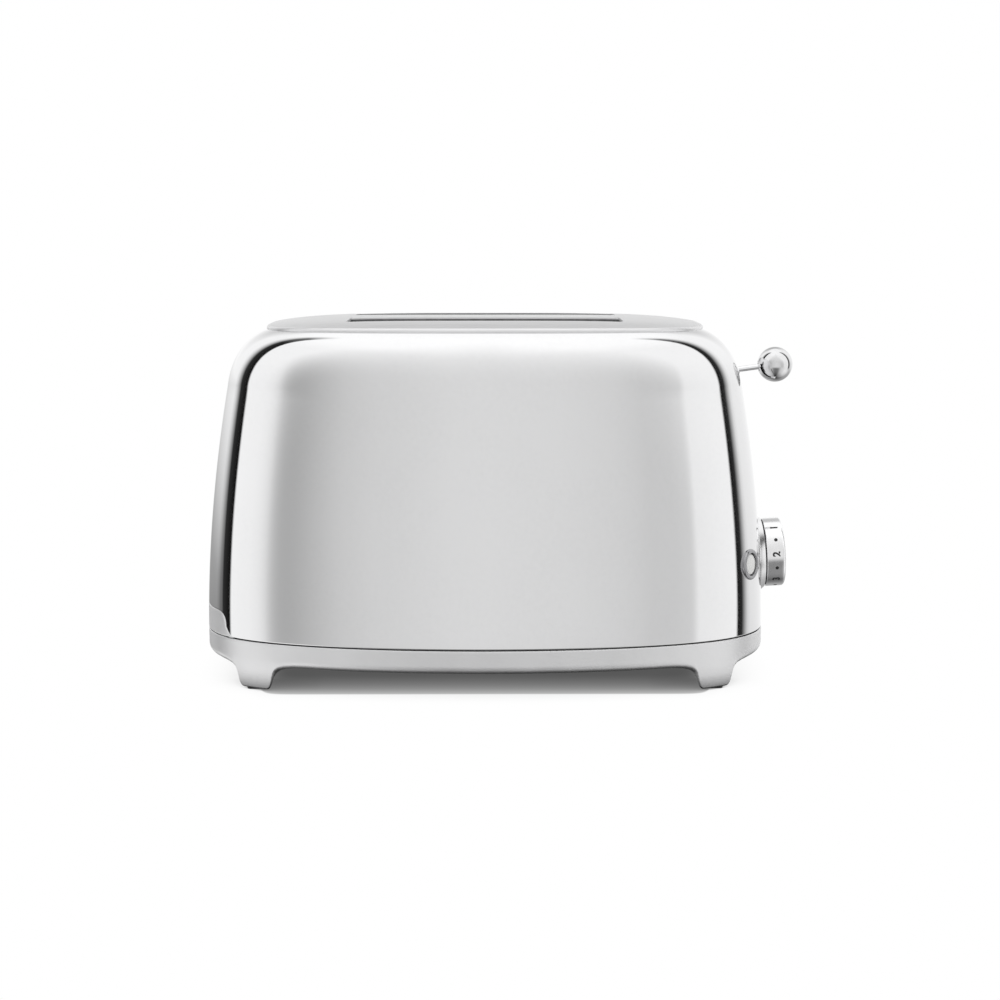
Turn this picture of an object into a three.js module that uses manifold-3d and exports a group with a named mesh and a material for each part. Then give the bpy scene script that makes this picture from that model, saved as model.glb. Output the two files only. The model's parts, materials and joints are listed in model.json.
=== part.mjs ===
// A two-slice toaster. A domed metal shell with a brushed top panel stands on a base with four
// feet. Inside are the heaters, the bread carriage on its guide rod, four guide cages that close
// on the bread, the browning control, two sprung buttons and a crumb tray that slides out.
// Millimetres, +Z up. The front faces -Y, the lever and the knob are on the +X end.
import * as THREE from "three";
import { mergeVertices } from "three/addons/utils/BufferGeometryUtils.js";
import Module from "manifold-3d";

const wasm = await Module();
wasm.setup();

// Clearances
const fitGap = 0.3; // between pieces that touch
const runningGap = 0.35; // between pieces that move on each other
const overrun = 4; // how far a cut runs past what it cuts

// Bread slots
const slotLength = 149;
const slotWidth = 34;
const slotSpacing = 62; // between the middles of the two slots
const slotDepth = 91.8; // from the shell's rim down to the bread rests
const slotCorner = 3;
const slotLip = 10; // depth of the turned-in edges
const slotEnds = [-1, 1]; // front slot, rear slot

// Room round the slots, from the inside out
const ovenEndRoom = 9.5; // from a slot's end to the end frame
const heaterRoom = 9; // from a slot's edge to the outer heater cards
const reflectorRoom = 7; // from those cards to the reflectors
const frameOverhang = 4; // from a reflector to the end frames' edge
const endRoom = 71; // from an end frame to the body's end, at the seam
const sideRoom = 29.5; // from the end frames' edge to the body's front or back
const crownRoom = 11.8; // from the end frames up to the shell's rim

// Body shell, with a plan that is a superellipse
const shoulderRise = 30.8; // height of the rounded shoulder
const endDraft = 12.8; // how far each end leans in up to the shoulder
const faceDraft = 9.5; // how far the front and the back lean in
const shellWall = 1;
const rimLedge = 8; // width of the shell's flat edge under the top panel
const seamGap = 0.6; // the dark line between shell and base
const leanPowerShare = 1.85; // the lean grows with height to this power
const seamEndShare = 1.95; // the superellipse's power in X at the seam
const seamFaceShare = 3.77; // and in Y
const rimSquareShare = 3.6; // its power, in X and Y, at the rim
const shoulderStartAngle = 8.2; // degrees, the wall's slope at the shoulder
const shoulderEndAngle = 71.8; // degrees, the slope at the rim
const planSides = 40;
const wallSteps = 3;
const shoulderSteps = 4;

// Top panel
const panelEnd = 46; // from a slot's end to the panel's end
const panelSide = 22; // from a slot's edge to the panel's front or back
const panelThickness = 1.2;
const panelRim = 2.6; // height of its rolled edge
const panelCrown = 2.9; // rise of its middle above the edge
const crownPowerShare = 4; // how flat the middle is
const domeShares = [0.97, 0.85, 0.65, 0.3]; // rings of the dome

// Base with its four feet
const baseBottom = 14;
const baseHeight = 13;
const baseWall = 3;
const baseFloor = 2.5; // thickness of the flange that carries the bottom plate
const baseFlange = 20; // width of that flange, wall included
const baseEdgeRadius = 8;
const baseEdgeSteps = 3;
const baseLipHeight = 3; // the lip that locates the shell
const footFromEnd = 31; // from the body's end to the middle of a foot
const footReach = 41.5; // from the body's front to the inner face of a foot
const footInset = 4; // how far the outer face of a foot leans in
const footTipWidth = 12;
const footWaistWidth = 18;
const footRootWidth = 34;
const footWaistHeight = 8.5; // where the leg starts to flare
const padHeight = 2;
const padInset = 0.5;

// Bottom plate, its screws and the cord's gland
const plateThickness = 1.2;
const ventLength = 60;
const ventWidth = 4;
const ventPitch = 13;
const ventCount = 7;
const screwFromFoot = 24;
const screwFromSide = 23.5;
const screwRadius = 1.5;
const screwHeadRadius = 3.2;
const screwHeadHeight = 1.6;
const screwLength = 8;
const glandFromFrame = 24; // from the end frame to the gland, inwards
const glandRadius = 3.6;
const glandBore = 2.6;
const glandFlangeRadius = 4.6;
const glandFlange = 1.6;
const glandLength = 9;
const terminalWidth = 26;
const terminalDepth = 12;
const terminalHeight = 12;
const terminalFromRear = 21.5;
const terminalBore = 2;
const terminalPitch = 8;

// End frames, reflectors, heater cards
const sheet = 1.2;
const frameCorner = 12;
const frameFlange = 9; // the frame's feet on the bottom plate
const legRoom = 4; // between the tray and the legs that it passes between
const archRoom = 2.4; // and above it
const tabMargin = 14; // top tab beyond the guide rod
const tabSide = 3; // and beyond the spring
const reflectorDrop = 2; // top edge below the frames'
const reflectorFlange = 5;
const heaterRise = 27.7; // cards above the bottom plate
const heaterDrop = 8; // and below the frames' top
const micaThickness = 1;
const ribbonCount = 9;
const ribbonWidth = 2;
const ribbonThickness = 0.5;

// Guide cages
const cageGap = 1.5; // a cage's wires stand this far outside the slot's edge
const cageTravel = 6;
const cageRadius = 1;
const cageWireRadius = 0.8;
const cageRise = 33.7; // lower rail above the bottom plate
const cageDrop = 6; // upper rail below the frames' top
const cageWireCount = 9;
const wireFromEnd = 2.5; // outermost wires inside the slot's length
const railOverhang = 3; // how far the rails reach through the end frames

// Carriage
const carriageTravel = 52;
const restDepth = 7;
const restThickness = 1.2;
const restBarCount = 9;
const barFromEnd = 6.5; // outermost bars inside the slot's length
const restBarHalf = 8;
const restBarHeight = 1.6;
const guideRoom = 13; // from the end frame to the guide rod
const guideRadius = 2.5;
const guideOver = 4; // rod above the top tab
const bracketRoom = 7; // from the guide rod to the bracket
const bracketHalf = 14;
const bracketDrop = 12; // bracket's top below the frames'
const earHalf = 9;
const earReach = 13;
const earDrop = 10; // top ear below the bracket's top
const earRise = 4.3; // bottom ear above the yoke
const yokeOver = 7; // yoke beyond the bread rests
const yokeReach = 15;
const bushRadius = 5;

// Lever
const ballReach = 8.4; // ball's middle beyond the body's end
const ballRadius = 9.9;
const ballBore = 6;
const rodRadius = 1.55;
const rodAngle = 8; // degrees above level
const rodDrop = 6.15; // rod below the bracket's top, where it passes it
const rodTail = 2; // rod behind the bracket
const leverSlotHalf = 2.6;
const leverSlotEnd = 2.4; // spare length of the slot beyond the rod
const guardSlit = 2.1;
const guardHalf = 8;
const guardMargin = 7;
const guardThickness = 1.2;

// Hold-down magnet and return spring
const magnetY = -26;
const coreWidth = 12;
const coreLength = 20;
const coreHeight = 18;
const coreBase = 2.7;
const postWidth = 6;
const postDepth = 5;
const keeperThickness = 2.5;
const keeperGap = 0.4; // left between keeper and core with the lever down
const keeperMargin = 1;
const coilWall = 2.4;
const coilDrop = 4; // coil below the core's top
const springY = 24;
const springRadius = 3;
const springWire = 0.45;
const springTurns = 12;
const springSteps = 8;
const springSides = 5;

// Browning control
const knobRise = 35.5; // its middle above the seam
const knobRadius = 19.5;
const knobLength = 12.3;
const knobRound = 2.4;
const knobSkin = 2.2;
const knobHub = 3;
const knobRecess = 1.4;
const bezelOver = 3.1; // bezel beyond the knob, at the wall
const bezelLip = 0.7; // and at its front
const bezelLength = 3.3;
const shaftRadius = 3;
const shaftEndCover = 4; // knob left in front of the shaft's end
const bushOuter = 4.5;
const bushRoom = 0.7; // between the threaded bush and the bezel
const bushHoleGap = 0.4;
const bushReach = 1.6; // how far the threaded bush stands out of the wall
const potRadius = 8.5;
const potFront = 10; // its front face, behind the wall
const potLength = 8;
const potFloor = 4;
const boardThickness = 1.6;
const boardMargin = 3; // board beyond the buttons
const boardRise = 27.5; // board above the knob's middle
const boardFoot = 7.7; // board's lower edge above the bottom plate
const boardCorner = 4;

// Buttons
const buttonFromSide = 42.5;
const buttonRise = 38.5; // its middle above the seam
const buttonRadius = 5.8;
const buttonStand = 1; // how far its face stands out
const buttonCap = 4;
const buttonCrown = 0.5;
const buttonFaceShare = 0.7; // flat part of its face
const buttonStem = 2;
const buttonStemLength = 1.8;
const buttonTravel = 1.5;
const ringWall = 1.1;
const ringFlange = 1.2; // rim beyond the barrel
const ringHeight = 1.7;
const ringDepth = 4;
const switchHalf = 4;
const switchDepth = 20;

// Crumb tray
const trayFrontHeight = 14;
const trayFrontFromSide = 32.5; // its front's edge from the body's front, at the seam
const trayFrontTaper = 3.5; // how far that edge leans in at the top
const trayFrontCorner = 8;
const trayFrontWall = 2.5;
const traySideRoom = 5.5; // tray inside the upper edge of its front
const trayEndRoom = 6; // from its rear end to the end frame
const trayRise = 10.3; // tray above the bottom plate
const trayWall = 0.8;
const trayHeight = 8;
const runnerDepth = 6.4;
const runnerFromEnd = 21;
const runnerGuide = 4.6; // how far the runner's web stands above its ledge
const runnerSheet = 1;

// Roundness of small pieces
const roundSides = 20;
const knobSides = 28;
const wireSides = 6;
const cornerSteps = 4;

const weldDistance = 0.0005;
const slopeStep = 0.5;

// Sizes that follow
const slotMiddle = slotSpacing / 2;
const frameInner = slotLength / 2 + ovenEndRoom;
const heaterY = slotMiddle + slotWidth / 2 + heaterRoom;
const reflectorY = heaterY + reflectorRoom;
const frameDepth = 2 * (reflectorY + frameOverhang);
const bodyWidth = 2 * (frameInner + endRoom);
const bodyDepth = frameDepth + 2 * sideRoom;
const panelLength = slotLength + 2 * panelEnd;
const panelDepth = slotSpacing + slotWidth + 2 * panelSide;

const seamHeight = baseBottom + baseHeight;
const baseFloorTop = baseBottom + baseFloor;
const plateBottom = baseFloorTop + fitGap;
const plateTop = plateBottom + plateThickness;
const standing = plateTop + fitGap; // underside of what stands on the bottom plate
const coreTop = standing + coreHeight;
const keeperBottom = coreTop + keeperGap + carriageTravel;
const yokeBottom = keeperBottom + keeperThickness + fitGap;
const yokeTop = yokeBottom + sheet;
const restBottom = yokeTop + fitGap;
const restTop = restBottom + restDepth;
const rimHeight = restTop + slotDepth;
const frameTop = rimHeight - crownRoom;
const shoulderHeight = rimHeight - shoulderRise;
const panelBottom = rimHeight + fitGap;
const panelRimTop = panelBottom + panelRim;

const footX = bodyWidth / 2 - footFromEnd;
const footInner = bodyDepth / 2 - footReach;
const screwX = footX - screwFromFoot;
const screwY = bodyDepth / 2 - screwFromSide;
const glandX = frameInner - glandFromFrame;
const glandHeight = standing + fitGap + glandRadius;
const terminalY = bodyDepth / 2 - terminalFromRear;

const heaterBottom = standing + heaterRise;
const heaterTop = frameTop - heaterDrop;
const cageBottom = standing + cageRise;
const cageTop = frameTop - cageDrop;
const cageWireSpan = slotLength - 2 * wireFromEnd;
const restBarSpan = slotLength - 2 * barFromEnd;

const guideX = frameInner + guideRoom;
const bracketX = guideX + bracketRoom;
const bracketTop = frameTop - bracketDrop;
const yokeHalf = slotMiddle + yokeOver;
const topEar = bracketTop - earDrop;
const bottomEar = yokeTop + earRise;

const rodSlope = Math.tan(THREE.MathUtils.degToRad(rodAngle));
const rodHeightAt = (x) => bracketTop - rodDrop + (x - bracketX) * rodSlope;
const ballX = bodyWidth / 2 + ballReach;
const ballHeight = rodHeightAt(ballX);
const rodEnd = ballX - ballRadius + ballBore;

const knobHeight = seamHeight + knobRise;
const bezelRadius = knobRadius + bezelOver;
const bezelTopRadius = knobRadius + bezelLip;
const bezelBore = bushOuter + bushRoom;
const potRear = -potFront - potLength;
const boardFront = potRear - fitGap;
const buttonHeight = seamHeight + buttonRise;
const buttonY = bodyDepth / 2 - buttonFromSide;
const ringBarrel = buttonRadius + fitGap + ringWall;
const ringRadius = ringBarrel + ringFlange;

const trayFrontTop = seamHeight + trayFrontHeight;
const trayFrontHalf = bodyDepth / 2 - trayFrontFromSide;
const trayFrontTopHalf = trayFrontHalf - trayFrontTaper;
const trayHalf = trayFrontTopHalf - traySideRoom;
const trayInner = frameInner - trayEndRoom;
const trayFloor = standing + trayRise;
const frameLegY = trayHalf + legRoom;
const frameArch = trayFloor + trayHeight + archRoom;

// Finishes: colour, roughness, metalness
const polished = [0xe8e9ea, 0.06, 1];
const brushed = [0xcfd0d1, 0.32, 1];
const satin = [0xd3d4d5, 0.42, 0.7];
const plated = [0xb9bcbe, 0.38, 1];
const wireSteel = [0xc9cbcd, 0.3, 1];
const blackRubber = [0x1d1d1e, 0.85, 0];
const blackPlastic = [0x242526, 0.6, 0];
const white = [0xf2f2f0, 0.35, 0];
const mica = [0xb89c6c, 0.65, 0];
const boardGreen = [0x2f5a3c, 0.5, 0];
const copper = [0xb06a3a, 0.4, 0.8];

const unitX = new THREE.Vector3(1, 0, 0);
const unitY = new THREE.Vector3(0, 1, 0);
const unitZ = new THREE.Vector3(0, 0, 1);
const radians = THREE.MathUtils.degToRad;
const mix = THREE.MathUtils.lerp;
const ends = [-1, 1];

// Solids

// A closed geometry as a solid for joining and cutting.
function solid(geometry) {
  const bare = geometry.clone();
  bare.deleteAttribute("normal");
  bare.deleteAttribute("uv");
  const merged = mergeVertices(bare, weldDistance);
  const corners = merged.index.array;
  const triangles = [];
  for (let i = 0; i < corners.length; i += 3) {
    const [a, b, c] = corners.slice(i, i + 3);
    if (a !== b && b !== c && c !== a) triangles.push(a, b, c);
  }
  return new wasm.Manifold(
    new wasm.Mesh({
      numProp: 3,
      vertProperties: merged.attributes.position.array,
      triVerts: new Uint32Array(triangles),
    }),
  );
}

// A solid back as a flat-shaded geometry.
function geometryOf(shape) {
  const mesh = shape.getMesh();
  const geometry = new THREE.BufferGeometry();
  geometry.setAttribute("position", new THREE.BufferAttribute(mesh.vertProperties, 3));
  geometry.setIndex(new THREE.BufferAttribute(mesh.triVerts, 1));
  const flat = geometry.toNonIndexed();
  flat.computeVertexNormals();
  return flat;
}

// A box between two corners.
function block(low, high) {
  const [width, depth, height] = high.map((value, i) => value - low[i]);
  const geometry = new THREE.BoxGeometry(width, depth, height);
  geometry.translate((low[0] + high[0]) / 2, (low[1] + high[1]) / 2, (low[2] + high[2]) / 2);
  return solid(geometry);
}

// A round bar from one point to another.
function bar(from, to, radius, sides = roundSides) {
  const along = to.clone().sub(from);
  const geometry = new THREE.CylinderGeometry(radius, radius, along.length(), sides);
  geometry.applyQuaternion(
    new THREE.Quaternion().setFromUnitVectors(unitY, along.clone().normalize()),
  );
  geometry.translate(...from.clone().add(to).multiplyScalar(0.5).toArray());
  return solid(geometry);
}

// Puts a flat shape into the plane that is square to an axis: its x and y become
// Y and Z for axis x, X and Z for axis y, and X and Y for axis z.
const planes = {
  x: new THREE.Matrix4().makeBasis(unitY, unitZ, unitX),
  y: new THREE.Matrix4().makeBasis(unitX, unitZ, unitY.clone().negate()),
  z: new THREE.Matrix4(),
};

// A shape pushed along an axis from one place to another.
function prism(shape, axis, from, to) {
  const geometry = new THREE.ExtrudeGeometry(shape, {
    depth: to - from,
    bevelEnabled: false,
    curveSegments: cornerSteps / 2,
  });
  const lift = axis === "y" ? -to : from;
  geometry.translate(0, 0, lift);
  geometry.applyMatrix4(planes[axis]);
  return solid(geometry);
}

// A rectangle with rounded corners about a middle.
function roundedRectangle(width, height, radius, x = 0, y = 0) {
  const [halfX, halfY] = [width / 2 - radius, height / 2 - radius];
  const shape = new THREE.Shape();
  shape.absarc(x + halfX, y + halfY, radius, 0, Math.PI / 2);
  shape.absarc(x - halfX, y + halfY, radius, Math.PI / 2, Math.PI);
  shape.absarc(x - halfX, y - halfY, radius, Math.PI, Math.PI * 1.5);
  shape.absarc(x + halfX, y - halfY, radius, Math.PI * 1.5, Math.PI * 2);
  return shape;
}

// A profile of [radius, distance] pairs turned about the X axis.
function turned(profile, sides = roundSides) {
  const points = profile.map(([radius, along]) => new THREE.Vector2(radius, along));
  const geometry = new THREE.LatheGeometry(points, sides);
  geometry.rotateZ(-Math.PI / 2);
  const shape = solid(geometry);
  if (shape.volume() > 0) return shape;
  const reversed = new THREE.LatheGeometry(points.reverse(), sides);
  reversed.rotateZ(-Math.PI / 2);
  return solid(reversed);
}

// A closed solid through rings of points, from the lowest ring to the highest.
function loft(rings) {
  const count = rings[0].length;
  const points = rings.flat();
  const faces = [];
  for (let r = 0; r + 1 < rings.length; r++) {
    for (let i = 0; i < count; i++) {
      const next = (i + 1) % count;
      const [a, b] = [r * count + i, r * count + next];
      faces.push(a, b, b + count, a, b + count, a + count);
    }
  }
  const addCap = (start, flip) => {
    const middle = new THREE.Vector3();
    for (let i = 0; i < count; i++) middle.add(points[start + i]);
    const hub = points.push(middle.divideScalar(count)) - 1;
    for (let i = 0; i < count; i++) {
      const next = start + ((i + 1) % count);
      faces.push(hub, ...(flip ? [next, start + i] : [start + i, next]));
    }
  };
  addCap(0, true);
  addCap((rings.length - 1) * count, false);
  const geometry = new THREE.BufferGeometry().setFromPoints(points);
  geometry.setIndex(faces);
  return solid(geometry);
}

const joined = (shapes) => shapes.reduce((whole, shape) => whole.add(shape));
const cut = (shape, tools) => tools.reduce((rest, tool) => rest.subtract(tool), shape);

// The body's form

const signedPower = (value, power) => Math.sign(value) * Math.abs(value) ** power;

// One level of the body: half sizes, height and the superellipse's two powers.
function planRing({ halfX, halfY, z, endPower, facePower }) {
  const ring = [];
  for (let i = 0; i < planSides; i++) {
    const turn = (i / planSides) * 2 * Math.PI;
    const x = halfX * signedPower(Math.cos(turn), 2 / endPower);
    const y = halfY * signedPower(Math.sin(turn), 2 / facePower);
    ring.push(new THREE.Vector3(x, y, z));
  }
  return ring;
}

// The level of the straight wall at a share of the way from the seam to the shoulder.
function wallLevel(share, offset = 0) {
  const lean = Math.max(share, 0) ** leanPowerShare;
  return {
    halfX: bodyWidth / 2 - endDraft * lean + offset,
    halfY: bodyDepth / 2 - faceDraft * lean + offset,
    z: mix(seamHeight, shoulderHeight, share),
    endPower: seamEndShare,
    facePower: seamFaceShare,
  };
}

// The level of the rounded shoulder at a share of the way from the wall to the rim.
function shoulderLevel(share, offset = 0) {
  const start = radians(shoulderStartAngle);
  const end = radians(shoulderEndAngle);
  const angle = mix(start, end, share);
  const inward = (Math.cos(start) - Math.cos(angle)) / (Math.cos(start) - Math.cos(end));
  const upward = (Math.sin(angle) - Math.sin(start)) / (Math.sin(end) - Math.sin(start));
  const side = offset * Math.cos(angle);
  return {
    halfX: mix(bodyWidth / 2 - endDraft, panelLength / 2, inward) + side,
    halfY: mix(bodyDepth / 2 - faceDraft, panelDepth / 2, inward) + side,
    z: mix(shoulderHeight, rimHeight, upward) + offset * Math.sin(angle),
    endPower: mix(seamEndShare, rimSquareShare, inward),
    facePower: mix(seamFaceShare, rimSquareShare, inward),
  };
}

// The body's whole outside, moved outwards by an offset and carried down to a floor.
function bodyForm(offset, floor) {
  const levels = [{ ...wallLevel(0, offset), z: floor }];
  for (let i = 0; i <= wallSteps; i++) levels.push(wallLevel(i / wallSteps, offset));
  for (let i = 1; i <= shoulderSteps; i++) levels.push(shoulderLevel(i / shoulderSteps, offset));
  return loft(levels.map(planRing));
}

// A straight-sided solid with the seam's plan, moved outwards by an offset.
function seamPrism(offset, low, high) {
  const level = wallLevel(0, offset);
  return loft([planRing({ ...level, z: low }), planRing({ ...level, z: high })]);
}

// Where the wall of the +X end is, at a place across it and a height.
function wallPoint(y, z) {
  const level = wallLevel((z - seamHeight) / (shoulderHeight - seamHeight));
  const across = 1 - Math.abs(y / level.halfY) ** level.facePower;
  return new THREE.Vector3(level.halfX * across ** (1 / level.endPower), y, z);
}

// A frame on that wall whose x points straight out of it.
function wallFrame(y, z) {
  const across = wallPoint(y + slopeStep, z).sub(wallPoint(y - slopeStep, z)).normalize();
  const rising = wallPoint(y, z + slopeStep).sub(wallPoint(y, z - slopeStep)).normalize();
  const outward = across.clone().cross(rising).normalize();
  const upward = outward.clone().cross(across).normalize();
  return new THREE.Matrix4()
    .makeBasis(outward, across, upward)
    .setPosition(wallPoint(y, z));
}

// A solid seen from another frame, for cuts between pieces in different groups.
function moved(shape, matrix) {
  return solid(geometryOf(shape).applyMatrix4(matrix));
}

// Frames that several pieces share
const controlFrame = wallFrame(0, knobHeight);
const toControl = controlFrame.clone().invert();

// Outer pieces

function holeAlongWall(frame, radius) {
  const from = new THREE.Vector3(-overrun * 2, 0, 0).applyMatrix4(frame);
  const to = new THREE.Vector3(overrun * 2, 0, 0).applyMatrix4(frame);
  return bar(from, to, radius);
}

// The outline of the tray's front in Y and Z, grown by a margin.
function trayFrontShape(margin) {
  const foot = trayFrontHalf + margin;
  const head = trayFrontTopHalf + margin;
  const top = trayFrontTop + margin;
  const radius = trayFrontCorner + margin;
  const start = seamHeight + seamGap;
  const bottom = seamHeight + fitGap - (margin > 0 ? overrun : 0);
  const shape = new THREE.Shape();
  shape.moveTo(-foot, bottom);
  shape.lineTo(foot, bottom);
  shape.lineTo(foot, start);
  shape.quadraticCurveTo(foot, top - radius, head, top - radius);
  shape.quadraticCurveTo(head, top, head - radius, top);
  shape.lineTo(radius - head, top);
  shape.quadraticCurveTo(-head, top, -head, top - radius);
  shape.quadraticCurveTo(-foot, top - radius, -foot, start);
  return shape;
}

const leverSlotTop = rodHeightAt(wallPoint(0, shoulderHeight).x) + rodRadius + leverSlotEnd;
const leverSlotBottom =
  rodHeightAt(wallPoint(0, ballHeight - carriageTravel).x) -
  carriageTravel -
  rodRadius -
  leverSlotEnd;

function makeShell() {
  const floor = seamHeight - overrun;
  const outer = bodyForm(0, floor);
  const inner = bodyForm(-shellWall, floor - overrun);
  const rim = shoulderLevel(1, -rimLedge);
  const opening = loft([
    planRing({ ...rim, z: rimHeight - overrun }),
    planRing({ ...rim, z: rimHeight + overrun }),
  ]);
  const leverSlot = roundedRectangle(
    leverSlotHalf * 2,
    leverSlotTop - leverSlotBottom,
    leverSlotHalf,
    0,
    (leverSlotTop + leverSlotBottom) / 2,
  );
  const tools = [
    inner,
    opening,
    seamPrism(overrun, floor - overrun, seamHeight + seamGap),
    prism(leverSlot, "x", bodyWidth / 4, bodyWidth / 2),
    prism(trayFrontShape(fitGap), "x", -bodyWidth / 2 - overrun, -bodyWidth / 4),
    holeAlongWall(controlFrame, bushOuter + bushHoleGap),
  ];
  ends.forEach((side) => {
    tools.push(holeAlongWall(wallFrame(side * buttonY, buttonHeight), ringBarrel + fitGap));
  });
  return cut(outer, tools);
}

// Height of the top panel's dome at a place, with the edge as its lowest line.
function domeHeight(x, y) {
  const reach =
    Math.abs(x / (panelLength / 2)) ** rimSquareShare +
    Math.abs(y / (panelDepth / 2)) ** rimSquareShare;
  const fall = Math.min(reach, 1) ** (crownPowerShare / rimSquareShare);
  return panelRimTop + panelCrown * (1 - fall);
}

// What lies under the dome, drawn in at the side and lowered, down to a floor.
function underDome(inset, drop, floor) {
  const level = {
    halfX: panelLength / 2 - inset,
    halfY: panelDepth / 2 - inset,
    z: floor,
    endPower: rimSquareShare,
    facePower: rimSquareShare,
  };
  const edge = planRing({ ...level, z: panelRimTop - drop - panelThickness / 2 });
  const dome = domeShares.map((share) =>
    planRing({ ...level, halfX: level.halfX * share, halfY: level.halfY * share }).map(
      (p) => new THREE.Vector3(p.x, p.y, domeHeight(p.x, p.y) - drop),
    ),
  );
  return loft([planRing(level), edge, ...dome]);
}

function slotPrism(side, margin, low, high) {
  const shape = roundedRectangle(
    slotLength + margin * 2,
    slotWidth + margin * 2,
    slotCorner + margin,
    0,
    side * slotMiddle,
  );
  return prism(shape, "z", low, high);
}

function makeTopPanel() {
  const top = panelRimTop + panelCrown + overrun;
  const lipBottom = panelRimTop - slotLip;
  const plate = underDome(0, 0, panelBottom).subtract(
    underDome(panelThickness, panelThickness, panelBottom - overrun),
  );
  const lips = slotEnds.map((side) =>
    slotPrism(side, panelThickness, lipBottom, top).intersect(
      underDome(0, panelThickness / 2, lipBottom - overrun),
    ),
  );
  const holes = slotEnds.map((side) => slotPrism(side, 0, lipBottom - overrun, top));
  return cut(joined([plate, ...lips]), holes);
}

// One foot seen from the front, in X and Z: a narrow tip, a waist and a flared root.
function footShape(side) {
  const middle = side * footX;
  const tip = footTipWidth / 2;
  const waist = footWaistWidth / 2;
  const root = footRootWidth / 2;
  const shape = new THREE.Shape();
  shape.moveTo(middle - tip, padHeight + fitGap);
  shape.lineTo(middle + tip, padHeight + fitGap);
  shape.lineTo(middle + waist, footWaistHeight);
  shape.quadraticCurveTo(middle + waist, baseBottom, middle + root, baseBottom);
  shape.lineTo(middle + root, baseFloorTop);
  shape.lineTo(middle - root, baseFloorTop);
  shape.lineTo(middle - root, baseBottom);
  shape.quadraticCurveTo(middle - waist, baseBottom, middle - waist, footWaistHeight);
  return shape;
}

// The leaning outer face that all four feet share.
function footTaper() {
  return loft([
    planRing({ ...wallLevel(0, -footInset), z: 0 }),
    planRing({ ...wallLevel(0), z: baseBottom + baseEdgeRadius }),
  ]);
}

const corners = ends.flatMap((sideY) => ends.map((sideX) => ({ sideX, sideY })));
const cornerName = ({ sideX, sideY }) =>
  (sideY < 0 ? "front" : "rear") + "_" + (sideX < 0 ? "left" : "right");

function alongDepth(shape, sideY, from, to) {
  return sideY < 0 ? prism(shape, "y", -to, -from) : prism(shape, "y", from, to);
}

const screwPlaces = corners.map(({ sideX, sideY }) => [sideX * screwX, sideY * screwY]);

function screwHoles(low, high) {
  return screwPlaces.map(([x, y]) =>
    bar(
      new THREE.Vector3(x, y, low),
      new THREE.Vector3(x, y, high),
      screwRadius + fitGap,
      wireSides,
    ),
  );
}

const glandFrame = new THREE.Matrix4()
  .makeBasis(unitY, unitX.clone().negate(), unitZ)
  .setPosition(glandX, bodyDepth / 2 - faceDraft / 2, glandHeight);

function makeBase() {
  const levels = [];
  for (let i = 0; i <= baseEdgeSteps; i++) {
    const angle = mix(Math.PI / 2, 0, i / baseEdgeSteps);
    levels.push({
      ...wallLevel(0, baseEdgeRadius * (Math.cos(angle) - 1)),
      z: baseBottom + baseEdgeRadius * (1 - Math.sin(angle)),
    });
  }
  levels.push(wallLevel(0));
  const feet = corners.map(({ sideX, sideY }) =>
    alongDepth(footShape(sideX), sideY, footInner, bodyDepth / 2).intersect(footTaper()),
  );
  const lip = seamPrism(-shellWall - fitGap, baseFloorTop, seamHeight + baseLipHeight);
  const trayPass = prism(
    trayFrontShape(fitGap),
    "x",
    -bodyWidth / 2 - overrun,
    -bodyWidth / 4,
  ).intersect(seamPrism(overrun, seamHeight, trayFrontTop));
  return cut(joined([loft(levels.map(planRing)), lip, ...feet]), [
    seamPrism(-baseWall, baseFloorTop, seamHeight + baseLipHeight + overrun),
    seamPrism(-baseFlange, baseBottom - overrun, baseFloorTop + overrun),
    trayPass,
    ...screwHoles(0, plateTop),
    holeAlongWall(glandFrame, glandRadius + fitGap),
  ]);
}

function makePad({ sideX, sideY }) {
  const shape = roundedRectangle(
    footTipWidth - padInset * 2,
    padHeight,
    padInset,
    sideX * footX,
    padHeight / 2,
  );
  const taper = loft([
    planRing({ ...wallLevel(0, -footInset - padInset), z: -overrun }),
    planRing({ ...wallLevel(0, -footInset), z: padHeight + overrun }),
  ]);
  const low = footInner + padInset;
  return alongDepth(shape, sideY, low, bodyDepth / 2).intersect(taper);
}

function makeBottomPlate() {
  const vents = [];
  for (let i = 0; i < ventCount; i++) {
    const y = (i - (ventCount - 1) / 2) * ventPitch;
    vents.push(
      prism(
        roundedRectangle(ventLength, ventWidth, ventWidth / 2, 0, y),
        "z",
        plateBottom - overrun,
        plateTop + overrun,
      ),
    );
  }
  const plate = seamPrism(-baseWall - fitGap, plateBottom, plateTop);
  return cut(plate, [...vents, ...screwHoles(baseBottom, plateTop + overrun)]);
}

function makeScrew([x, y]) {
  const head = baseBottom - fitGap;
  const profile = [
    [0, 0],
    [screwHeadRadius - screwHeadHeight / 2, 0],
    [screwHeadRadius, screwHeadHeight / 2],
    [screwHeadRadius, screwHeadHeight],
    [screwRadius, screwHeadHeight],
    [screwRadius, screwHeadHeight + screwLength],
    [0, screwHeadHeight + screwLength],
  ];
  const upright = new THREE.Matrix4()
    .makeBasis(unitZ, unitX, unitY)
    .setPosition(x, y, head - screwHeadHeight);
  return moved(turned(profile, wireSides * 2), upright);
}

function makeGland() {
  const profile = [
    [glandBore, -glandLength],
    [glandRadius, -glandLength],
    [glandRadius, 0],
    [glandFlangeRadius, 0],
    [glandFlangeRadius, glandFlange / 2],
    [glandFlangeRadius - glandFlange / 2, glandFlange],
    [glandBore, glandFlange],
    [glandBore, -glandLength],
  ];
  const outside = wallAtRear(glandX - glandFlangeRadius) + fitGap;
  const frame = glandFrame.clone().setPosition(glandX, outside, glandHeight);
  return moved(turned(profile, roundSides), frame);
}

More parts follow.
